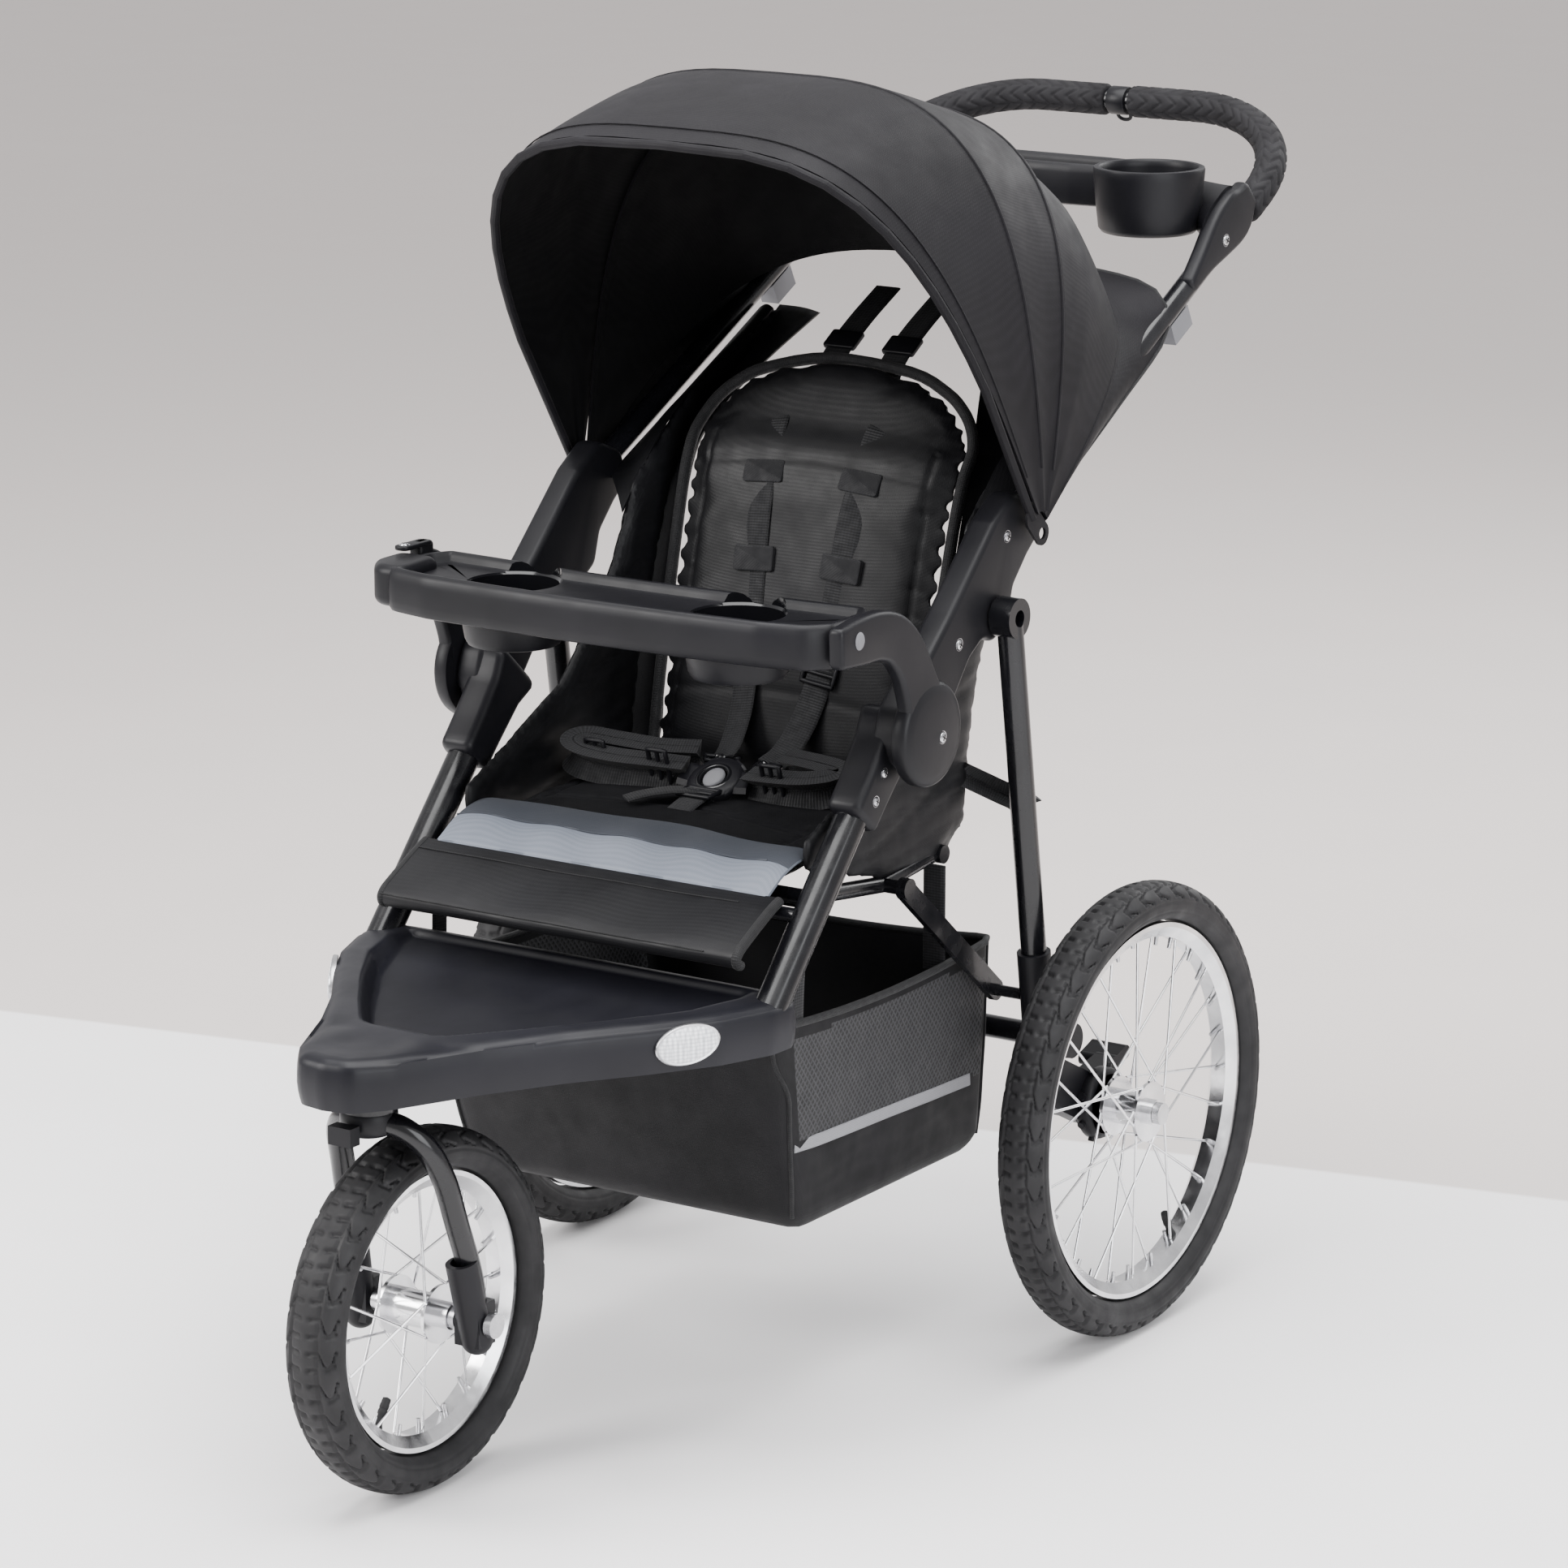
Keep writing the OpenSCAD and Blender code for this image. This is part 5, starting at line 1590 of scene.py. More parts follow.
@dataclass
class Canopy:
    """The hood's front sheet, its rear panel, seams and bow."""

    pivot: Tuple[float, float] = (562.0, 710.0)
    power: float = 3.4
    half: float = 238.0
    rear_half: float = 232.0
    front: Tuple[Tuple[float, float], ...] = ((77, 346), (97, 374), (122.6, 396))
    rear: Tuple[Tuple[float, float], ...] = ((38, 300), (60, 324), (79, 340), (83, 345))
    cloth: float = 2.2

    def arch(self, angle: float, reach: float, half: float, count: int = 76) -> Array:
        """One arch of the hood, from hinge to hinge.

        Args:
            angle: of its plane, in degrees up from straight back.
            reach: its height over the hinge.
            half: half its width.
            count: pieces in it.

        Returns:
            Its points.
        """
        j = np.linspace(0, 1, count + 1)
        turn = np.radians(90 - 89.6 * np.cos(math.pi * j))
        x = half * np.sign(np.cos(turn)) * np.abs(np.cos(turn)) ** (2 / self.power)
        r = np.maximum(12, reach * np.sin(turn) ** (2 / self.power))
        a = math.radians(angle)
        return np.stack([x, self.pivot[0] + r * math.cos(a), self.pivot[1] + r * math.sin(a)], axis=1)

    def skin(self, bows: Sequence[Tuple[float, float]], half: float, slack: float, steps: int,
             under: float) -> Array:
        """Rows of a sheet stretched over bows.

        Args:
            bows: (angle, reach) of each.
            half: half width.
            slack: how far the cloth dips between bows.
            steps: rows to each gap.
            under: how far this skin lies inside.

        Returns:
            The rows.
        """
        rows = []
        for (a0, r0), (a1, r1) in zip(bows[:-1], bows[1:]):
            for k in range(steps):
                t = k / steps
                dip = slack * math.sin(math.pi * t) ** 1.2
                rows.append((a0 + (a1 - a0) * t, r0 + (r1 - r0) * t - dip - under, half - under - dip * 0.3))
        rows.append((bows[-1][0], bows[-1][1] - under, half - under))
        return np.array([self.arch(a, r, h) for a, r, h in rows])

    def sheet(self, name: str, bows: Sequence[Tuple[float, float]], half: float, slack: float,
              seams: Sequence[Tuple[float, float]]) -> Tuple[bpy.types.Object, Tuple[float, float], float]:
        """One continuous sheet with its lining, edge folds and seams.

        Args:
            name: the piece's name.
            bows: (angle, reach) of each bow.
            half: half width.
            slack: dip between bows.
            seams: (angle, radius) of each welt.

        Returns:
            The object, its flat size and its area in square metres.
        """
        outer, inner = self.skin(bows, half, slack, 14, 0.0), self.skin(bows, half, slack, 14, self.cloth)
        piece = Workpiece(name, finish(Finish.CANOPY), finish(Finish.LINING), finish(Finish.BINDING))
        piece.slab(outer, inner, 0, 1)
        angles = [a for a, _ in bows]
        reaches = [r for _, r in bows]
        for angle, radius in seams:
            line = self.arch(angle, float(np.interp(angle, angles, reaches)) - 0.4, half - 0.2, 90)[6:-6]
            piece.rod(line, radius, 0, 8)
        a, b, c = outer[:-1, :-1], outer[1:, :-1], outer[:-1, 1:]
        area = float(np.linalg.norm(np.cross(b - a, c - a), axis=2).sum()) * MM * MM
        length = float(np.linalg.norm(np.diff(outer[len(outer) // 2], axis=0), axis=1).sum()) * MM
        depth = float(np.linalg.norm(np.diff(outer[:, 38], axis=0), axis=1).sum()) * MM
        return piece.object(50), (length, max(depth, area / length * 1.002)), area

    def curtain(self, side: Side) -> bpy.types.Object:
        """The side of the rear panel, from its hem over the handle tube."""
        edge = self.arch(*self.rear[0], self.rear_half, 120)
        edge = edge[(edge[:, 0] > 58) & (edge[:, 2] > self.pivot[1] + 8)][::-1]
        edge = edge if edge[0, 0] > edge[-1, 0] else edge[::-1]
        fall = smooth_line([(221, 560, 712), (220, 640, 754), (218, 720, 797), (216.5, 792, 838),
                            (211, 806, 864), (190, 814, 880), (150, 816, 888), (100, 808, 893),
                            (60, 800, 895)], 10)
        even = np.linspace(0, 1, 70)
        edge = spread(edge, even * lengths(edge)[-1])
        fall = spread(fall, even * lengths(fall)[-1])
        rows = [edge + (fall - edge) * t + [2.5 * math.sin(math.pi * t), 0, 0] for t in np.linspace(0, 1, 12)]
        rows = np.array(rows)
        piece = Workpiece(f"canopy_curtain_{side.tag}", finish(Finish.CANOPY), finish(Finish.LINING),
                          finish(Finish.BINDING))
        piece.slab(rows, rows - [self.cloth, 0, self.cloth * 0.4], 0, 1)
        piece.rod(rows[-1][::3] - [1, 0, 0.4], 2.2, 2, 8)
        return piece.mirrored(side).object(60)

    def build(self) -> None:
        """Builds the hood."""
        hood, flat, area = self.sheet("canopy_hood", self.front, self.half, 4.5,
                                      ((78.2, 1.3), (97, 1.5), (119.6, 0.7)))
        settle(hood, "canopy", "canopy_front", slot="canopy_fabric")
        back, flat, area = self.sheet("canopy_back", self.rear, self.rear_half, 2.0, ((39.2, 0.9),))
        settle(back, "upper_frame", "canopy_rear", slot="canopy_fabric")
        for side in Side:
            settle(self.curtain(side), "upper_frame", slot="canopy_fabric")
        dress(Finish.CANOPY, "canopy_hem")


# ---------- seat ----------


@dataclass
class Seat:
    """Padded seat back, pan, side wings, front strip and footrest."""

    back_path: Tuple[Tuple[float, float], ...] = ((516, 470), (540, 560), (583, 722), (612, 770), (640, 822))
    back_half: float = 142.0
    back_thick: float = 9.5
    pan_half: float = 161.0
    pan: Tuple[Tuple[float, float], ...] = ((285, 463.5), (300, 465), (380, 468.5), (440, 470), (497, 465.5))

    def back_width(self, t: float) -> float:
        """Half the back's width at a share of its height."""
        if t < 0.62:
            return self.back_half * (0.93 + 0.07 * math.sin(math.pi / 2 * t / 0.62))
        return self.back_half * max(0.0, 1 - ((t - 0.62) / 0.385) ** 2.6) ** 0.5

    def back_pad(self) -> bpy.types.Object:
        """The back cushion: crowned, pinched at its edges, stitched across and puckered along its piping."""
        line = smooth_line(self.back_path, 9)
        ahead = headings(line)
        t = np.linspace(0, 1, len(line))
        turn = np.linspace(0, 2 * math.pi, 56, endpoint=False)
        rows = []
        for p, d, share in zip(line, ahead, t):
            w = max(self.back_width(share), 3.0)
            thick = self.back_thick * min(1.0, 0.45 + 2.2 * min(share, 1 - share) ** 0.6)
            x = w * np.sign(np.cos(turn)) * np.abs(np.cos(turn)) ** 0.75
            out = thick * np.sin(turn) * (1 - 0.35 * (np.abs(x) / max(w, 1)) ** 3)
            rows.append(np.stack([x, p[0] - d[1] * out, p[1] + d[0] * out], axis=1))
        piece = Workpiece("seat_back_pad", finish(Finish.SEAT))
        pad = inflated(piece.grid(np.array(rows), wrap=True, caps=True).object(), 5.5, 6.5)

        def press(at: Array) -> Array:
            """Depth of stitching and puckers."""
            x, z = at[:, 0], at[:, 2]
            edge = np.clip((np.abs(x) - 96) / 30, 0, 1)
            seam = 1.5 * np.exp(-((np.abs(x) - 112) / 2.6) ** 2) * (z < 760)
            lines = sum(1.0 * np.exp(-((z - h - 5 * np.cos(x / 46)) / 4.0) ** 2) for h in (548, 612, 740))
            rim = np.clip((126 - np.abs(x)) / 6, 0, 1)
            wave = np.clip(np.sin(z * 0.23 + 1.1 * np.sin(z * 0.05) + x * 0.02), 0, 1)
            pucker = 0.9 * edge * rim * wave ** 2
            return seam + lines * (np.abs(x) < 112) + pucker

        return dented(subdivided(pad, 1), press)

    def back_piping(self) -> bpy.types.Object:
        """Braided piping round the back's edge."""
        line = smooth_line(self.back_path, 12)
        t = np.linspace(0, 1, len(line))
        half = [(self.back_width(s) * 0.985, p) for s, p in zip(t, line) if s > 0.04]
        right = [(w, p[0], p[1]) for w, p in half]
        left = [(-w, y, z) for w, y, z in right[::-1]]
        path = smooth_line([p for p in right[::3]] + [p for p in left[::3]], 4)
        piece = Workpiece("seat_back_piping", finish(Finish.BINDING))
        return piece.rod(path, 5.2, 0, 12, (0, -1, 0.3)).object(60)

    def pan_pad(self) -> bpy.types.Object:
        """The seat cushion."""
        line = smooth_line(self.pan, 7)
        turn = np.linspace(0, 2 * math.pi, 60, endpoint=False)
        rows = []
        for i, p in enumerate(line):
            share = i / (len(line) - 1)
            thick = 9.0 * min(1.0, 0.5 + 2.0 * min(share, 1 - share) ** 0.6)
            x = self.pan_half * np.sign(np.cos(turn)) * np.abs(np.cos(turn)) ** 0.6
            rows.append(np.stack([x, np.full_like(x, p[0]), p[1] + thick * np.sin(turn)], axis=1))
        piece = Workpiece("seat_cushion", finish(Finish.SEAT))
        pad = inflated(piece.grid(np.array(rows), wrap=True, caps=True).object(), 5.0, 4.5)

        def press(at: Array) -> Array:
            """Depth of the cushion's stitching and creases."""
            x, y = at[:, 0], at[:, 1]
            seam = 1.8 * np.exp(-((np.abs(x) - 128) / 2.6) ** 2)
            crease = 1.6 * np.exp(-((y - 372 - 9 * np.cos(x / 40)) / 4.5) ** 2)
            wave = np.clip(np.sin(y * 0.25 + x * 0.03), 0, 1)
            pucker = 1.2 * np.clip((np.abs(x) - 110) / 30, 0, 1) * wave ** 2
            return seam + crease * (np.abs(x) < 128) + pucker

        return dented(subdivided(pad, 1), press)

    def wing(self, side: Side) -> bpy.types.Object:
        """One padded side, from the cushion up to the upper tubes."""
        outline = rounded_outline([(300, 462, 8), (415, 432, 16), (500, 426, 18), (542, 452, 20),
                                   (562, 560, 60), (606, 690, 50), (652, 742, 40), (790, 822, 6),
                                   (778, 842, 10), (640, 786, 60), (548, 716, 40), (508, 644, 40),
                                   (438, 562, 60), (296, 490, 12)], 6)
        piece = Workpiece(f"seat_side_{side.tag}", finish(Finish.SEAT))
        piece.plate(outline, (166.4, 0, 0), (0, 1, 0), (0, 0, 1), 8.0, 3.0, 0, 3)
        pad = inflated(piece.mirrored(side).object(), 5.0, 4.0)

        def press(at: Array) -> Array:
            """Depth of the side's quilting."""
            y, z = at[:, 1], at[:, 2]
            lean = z - 0.35 * y
            lines = 1.6 * np.exp(-(((lean + 14) % 62 - 31) / 3.0) ** 2)
            return lines + 0.9 * np.clip(np.sin(lean * 0.31 + y * 0.05), 0, 1) ** 3

        return dented(pad, press)

    def gusset(self, side: Side) -> bpy.types.Object:
        """The loose cloth between one side and the back."""
        outer = smooth_line([(168, 492, 438), (168, 526, 480), (168, 546, 560), (168, 588, 688),
                             (168, 640, 752), (170, 716, 798), (176, 786, 836)], 8)
        inner = smooth_line([(132, 512, 462), (133, 534, 505), (138, 549, 570), (140, 592, 722),
                             (130, 622, 768), (112, 662, 806), (88, 716, 846)], 8)
        rows = []
        for t in np.linspace(0, 1, 10):
            slack = 7 * math.sin(math.pi * t)
            wave = 1.6 * np.sin(np.linspace(0, 16, len(outer))) * math.sin(math.pi * t)
            rows.append(outer + (inner - outer) * t + np.stack([0 * wave, slack + wave, 0 * wave], axis=1))
        rows = np.array(rows)
        piece = Workpiece(f"seat_gusset_{side.tag}", finish(Finish.SEAT))
        return piece.slab(rows, rows + [0, 2.4, -0.8]).mirrored(side).object(60)

    def shoulder(self, side: Side) -> bpy.types.Object:
        """The cloth from one side's top edge to the handle tube."""
        inner = smooth_line([(170, 530, 690), (170, 566, 728), (170, 612, 768), (171, 690, 800),
                             (176, 776, 834)], 8)
        outer = smooth_line([(200, 556, 716), (199, 590, 734), (198, 640, 759), (197, 710, 794),
                             (196, 784, 832)], 8)
        rows = []
        for t in np.linspace(0, 1, 8):
            wave = 1.4 * np.sin(np.linspace(0, 19, len(inner))) * math.sin(math.pi * t)
            rows.append(inner + (outer - inner) * t
                        + np.stack([0 * wave, wave, 3 * math.sin(math.pi * t) + wave], axis=1))
        rows = np.array(rows)
        piece = Workpiece(f"seat_shoulder_{side.tag}", finish(Finish.SEAT))
        return piece.slab(rows, rows + [0, 1.0, -2.2]).mirrored(side).object(60)

    def front_strip(self) -> bpy.types.Object:
        """The blue-grey strip over the seat's front edge, whose back half, underside and stitching take a
        darker copy of the same cloth as painted shade.
        """
        line = smooth_line([(252, 458.5), (262, 464.5), (276, 472.5), (292, 478), (308, 480.5),
                            (322, 481.5)], 4)
        xs = np.linspace(-166, 166, 84)
        top, under = [], []
        for i, (y, z) in enumerate(line):
            share = i / (len(line) - 1)
            ripple = 1.1 * np.sin(xs * 0.09 + 2.1 * share) * np.sin(math.pi * share)
            edge = 2.5 * np.clip((np.abs(xs) - 150) / 16, 0, 1) ** 2
            wave = (5 * np.cos(xs / 46) + 3 * np.sin(xs / 23)) * share ** 2
            top.append(np.stack([xs, y + wave, z + ripple - edge], axis=1))
            under.append(np.stack([xs, y + wave, z - 4.5 - edge * 0.3], axis=1))
        top, under = np.array(top), np.array(under)
        piece = Workpiece("seat_front_band", finish(Finish.STRIP), finish(Finish.SLATE))
        # Rows past split, the underside and the stitch line take the darker copy of the cloth: painted shade.
        split = 10
        piece.grid(top[:split + 1], 0).grid(top[split:], 1).grid(under, 1, flip=True)
        for i in (0, -1):
            piece.grid(np.array([top[i], under[i]]), 0).grid(np.array([top[:, i], under[:, i]]), 0)
        stitch = smooth_line(top[split][::6] + [0, 0, 0.5], 4)
        piece.rod(stitch, 0.9, 1, 6)
        return piece.object(60)

    def footrest(self) -> bpy.types.Object:
        """The padded footrest flap, rolled under at its front edge and bound with stitching."""
        line = smooth_line([(253, 457), (240, 452), (222, 443.5), (205, 435), (193, 428), (188, 421),
                            (190, 413.5), (197, 410.5)], 4)
        ahead = headings(line)
        xs = np.linspace(-177, 177, 60)
        top, under = [], []
        for i, (p, d) in enumerate(zip(line, ahead)):
            share = i / (len(line) - 1)
            sag = 2.4 * (1 - (xs / 177) ** 2) * math.sin(math.pi * min(1, share * 1.25))
            ripple = 0.8 * np.sin(xs * 0.05 + 3 * share) * math.sin(math.pi * share)
            out = -sag + ripple
            top.append(np.stack([xs, p[0] + d[1] * out, p[1] - d[0] * out], axis=1))
            under.append(np.stack([xs, p[0] + d[1] * (out - 6), p[1] - d[0] * (out - 6)], axis=1))
        top, under = np.array(top), np.array(under)
        piece = Workpiece("footrest_flap", finish(Finish.SEAT), finish(Finish.BINDING)).slab(top, under)
        for i in (0, -1):
            piece.rod((top[:, i] + under[:, i]) / 2, 4.2, 1, 10)
        for row in (4, 19):
            piece.rod(smooth_line(top[row][::6] + [0, -0.2, 0.4], 4), 0.7, 1, 6)
        return piece.object(60)

    def tabs(self) -> bpy.types.Object:
        """Two straps of webbing from the top of the back, each with its adjuster."""
        piece = Workpiece("seat_top_tabs", finish(Finish.STRAP), finish(Finish.PLASTIC))
        for side in Side:
            x = side.value * 30
            path = smooth_line([(x, 638, 800), (x, 652, 822), (x, 690, 846), (x, 738, 870)], 6)
            piece.strap(path, 26, 2.4, (0, 0.5, -0.86))
            outline = rounded_outline([(-16, -11, 3), (16, -11, 3), (16, 11, 3), (-16, 11, 3)], 4)
            piece.plate(outline, (x, 668, 831.5), (1, 0, 0), (0, 0.85, 0.52), 5, 1.4, 1, 3)
        return piece.object(50)

    def build(self) -> None:
        """Builds the seat."""
        back = settle(self.back_pad(), "seat_back", "seat_back", slot="black_fabric")
        settle(self.back_piping(), "seat_back", slot="black_fabric")
        settle(self.tabs(), "seat_back", slot="webbing")
        cushion = settle(self.pan_pad(), "front_frame", "seat_pan", slot="black_fabric")
        for side in Side:
            nodes = ("seat_wings",) if side is Side.LEFT else ()
            wing = settle(self.wing(side), "front_frame", *nodes, slot="black_fabric")
            gusset = self.gusset(side)
            x = side.value
            place(x * 165, 560, 600)
            place(x * 140, 560, 600)
            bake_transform(gusset)
            LOG.info("%s bends from front_frame to seat_back", gusset.name)
            top = self.shoulder(side)
            place(x * 171, 640, 760)
            place(x * 196, 640, 760)
            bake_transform(top)
            LOG.info("%s bends from front_frame to upper_frame", top.name)
        band = settle(self.front_strip(), "front_frame", "seat_front_strip", slot="blue_grey_fabric")
        flap = settle(self.footrest(), "front_frame", "foot_panel", slot="black_fabric")


# ---------- harness ----------


@dataclass
class Harness:
    """Five-point harness: shoulder, lap and crotch webbing, keepers, adjusters and buckle."""

    width: float = 25.0
    thick: float = 2.4
    lap_thick: float = 2.2
    buckle: Tuple[float, float, float] = (0.0, 426.0, 489.0)
    face: Tuple[float, float, float] = (0.0, -0.5, 0.87)

    def shoulder_path(self, side: Side) -> Array:
        """Middle line of one shoulder strap."""
        s = side.value
        return smooth_line([(s * 53, 603, 774), (s * 52, 595, 771), (s * 50, 580, 745), (s * 47, 561.5, 704),
                            (s * 43, 545, 640), (s * 39, 530, 582), (s * 33, 512, 538), (s * 28, 488, 511),
                            (s * 24, 468, 502)], 10)

    def keeper(self, piece: Workpiece, at: Array, ahead: Array, out: Array,
               size: Tuple[float, float, float]) -> None:
        """Adds one folded keeper.

        Args:
            piece: where it is added.
            at: its middle.
            ahead: along the strap.
            out: away from the seat.
            size: across, along and thick.
        """
        across = np.cross(ahead, out)
        w, l, t = size
        outline = rounded_outline([(-w / 2, -l / 2, 3), (w / 2, -l / 2, 3), (w / 2, l / 2, 3),
                                   (-w / 2, l / 2, 3)], 4)
        piece.plate(outline, at - out * (t / 2 - 1), across, ahead, t, 1.4, 0, 3)

    def shoulder(self, side: Side) -> bpy.types.Object:
        """One shoulder strap with its keepers and adjuster."""
        piece = Workpiece(f"shoulder_strap_{side.tag}", finish(Finish.STRAP), finish(Finish.PLASTIC))
        path = self.shoulder_path(side)
        piece.strap(path, self.width, self.thick, (0, -0.95, 0.3))
        ahead = np.gradient(path, axis=0)
        for k, size in ((24, (40, 20, 6.5)), (37, (40, 22, 6.5))):
            d = unit(ahead[k])
            out = unit(np.cross(d, np.cross((0, -0.95, 0.3), d)))
            self.keeper(piece, path[k], d, out, size)
        k = 52
        d = unit(ahead[k])
        out = unit(np.cross(d, np.cross((0, -0.95, 0.3), d)))
        self.frame(piece, path[k] + out * 2.2, d, np.cross(d, out), 1)
        return piece.object(50)

    def frame(self, piece: Workpiece, at: Array, ahead: Array, across: Array, slot: int) -> None:
        """Adds a ladder-lock frame."""
        ring = [at + across * a + ahead * b for a, b in ((-16, -9), (16, -9), (16, 9), (-16, 9))]
        piece.rod(ringed(ring, 5), 2.1, slot, 8)
        piece.rod(np.linspace(at - across * 15, at + across * 15, 4), 1.9, slot, 8)

    def connector(self, side: Side) -> bpy.types.Object:
        """The swivel connector and tongue below a shoulder strap."""
        s = side.value
        piece = Workpiece(f"swivel_connector_{side.tag}", finish(Finish.PLASTIC), finish(Finish.GLOSS))
        top, foot = np.array([s * 24, 468.0, 502.0]), np.array([s * 13.5, 440.0, 493.5])
        d = unit(foot - top)
        side_way = unit(np.cross(d, (0, 0.2, 1)))
        loop = [top + side_way * a + d * b for a, b in ((-15, -2), (15, -2), (13, 6), (-13, 6))]
        piece.rod(ringed(loop, 4), 2.2, 0, 8)
        barrel = [(0.3, 3), (6.5, 3), (6.8, 5), (5.6, 6), (6.6, 7.2), (5.4, 8.6), (6.4, 10), (5.2, 11.4),
                  (6.2, 12.8), (5.6, 16), (4.2, 18), (4.0, 24), (0.3, 24.5)]
        piece.turned(barrel, top, d, 1, 24)
        piece.strap(np.linspace(top + d * 20, foot, 5), 11, 5, (0, 0.2, 1), 0)
        return piece.object(50)

    def lap(self, side: Side) -> bpy.types.Object:
        """One lap belt with its adjuster."""
        s = side.value
        piece = Workpiece(f"lap_belt_{side.tag}", finish(Finish.STRAP), finish(Finish.PLASTIC))
        if side is Side.RIGHT:
            loop = [(s * 32, 428, 494), (s * 60, 421, 495), (s * 96, 413, 496), (s * 128, 411, 499),
                    (s * 143, 419, 503), (s * 138, 431, 506), (s * 110, 437, 504), (s * 72, 443, 502),
                    (s * 38, 456, 502)]
        else:
            loop = [(s * 32, 428, 494), (s * 58, 426, 495), (s * 84, 430, 496), (s * 104, 440, 499),
                    (s * 108, 451, 503), (s * 84, 458, 504), (s * 44, 468, 503)]
        piece.strap(smooth_line(loop, 8), self.lap_thick, self.width, (0, -0.3, 0.95))
        for x in (58,) if side is Side.LEFT else (54, 118):
            at = np.array([s * x, 418.0 if side is Side.RIGHT else 423.0, 501.0])
            self.frame(piece, at, np.array([s * 1.0, 0, 0]), unit((0, -0.3, 0.95)), 1)
        return piece.object(50)

    def crotch(self) -> bpy.types.Object:
        """The crotch strap with its loose tab."""
        piece = Workpiece("crotch_strap", finish(Finish.STRAP), finish(Finish.PLASTIC))
        piece.strap(smooth_line([(0, 368, 480.5), (0, 385, 485), (0, 402, 488), (0, 416, 488.5)], 6),
                    self.width, self.thick, (0, 0, 1))
        piece.strap(smooth_line([(-4, 404, 490), (-22, 388, 491), (-38, 372, 489), (-48, 360, 486)], 6), 21,
                    2.4, (0, 0, 1))
        self.frame(piece, np.array([0.0, 398, 490]), np.array([0, 1.0, 0.1]), np.array([1.0, 0, 0]), 1)
        return piece.object(50)

    def clasp(self) -> bpy.types.Object:
        """The buckle's body with its four mouths."""
        x, y, z = self.buckle
        piece = Workpiece("buckle_body", finish(Finish.PLASTIC), finish(Finish.GLOSS))
        body = [(0.4, 1), (23, 1), (26, 2.5), (27, 6), (26, 9.5), (22.5, 11.4), (17, 12.2), (13.4, 12.0),
                (12.6, 10.4), (12.2, 7), (0.4, 6.6)]
        piece.turned(body, (x, y, z), self.face, 0, 64, 0.92)
        ring = [(12.2, 9.4), (13.0, 12.4), (14.6, 12.9), (16.2, 12.2), (15.8, 9.4)]
        piece.turned(ring, (x, y, z), self.face, 1, 48)
        for a, far in ((8, 34), (172, 34), (62, 27), (118, 27), (270, 28)):
            turn = math.radians(a)
            way = math.cos(turn) * np.array([1.0, 0, 0]) + math.sin(turn) * np.array([0, 0.87, 0.5])
            middle = np.array([x, y, z]) + np.array(self.face) * 5.5
            path = np.linspace(middle + way * 17, middle + way * far, 5)
            piece.strap(path, 17 if a in (62, 118) else 27, 7.5, self.face)
        return piece.object(45)

    def button(self) -> bpy.types.Object:
        """The release button."""
        x, y, z = self.buckle
        piece = Workpiece("buckle_release", finish(Finish.GREY))
        cap = [(0.3, 4), (11.2, 4), (11.4, 11), (10.2, 12.4), (6, 13.1), (0.3, 13.3)]
        return piece.turned(cap, (x, y, z), self.face, 0, 48, 0.8).object(50)

    def build(self) -> None:
        """Builds the harness."""
        for side in Side:
            strap = self.shoulder(side)
            if side is Side.LEFT:
                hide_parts("shoulder_straps")
            place(0, 530, 582)
            place(0, 492, 512)
            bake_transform(strap)
            LOG.info("%s bends from seat_back to front_frame", strap.name)
            settle(self.connector(side), "front_frame", slot="black_plastic")
            nodes = ("harness_straps",) if side is Side.LEFT else ()
            settle(self.lap(side), "front_frame", *nodes, slot="webbing")
        settle(self.crotch(), "front_frame", slot="webbing")
        settle(self.clasp(), "front_frame", "buckle", slot="black_plastic")
        settle(self.button(), "buckle_button", "buckle_button", slot="grey_plastic")


# ---------- basket ----------


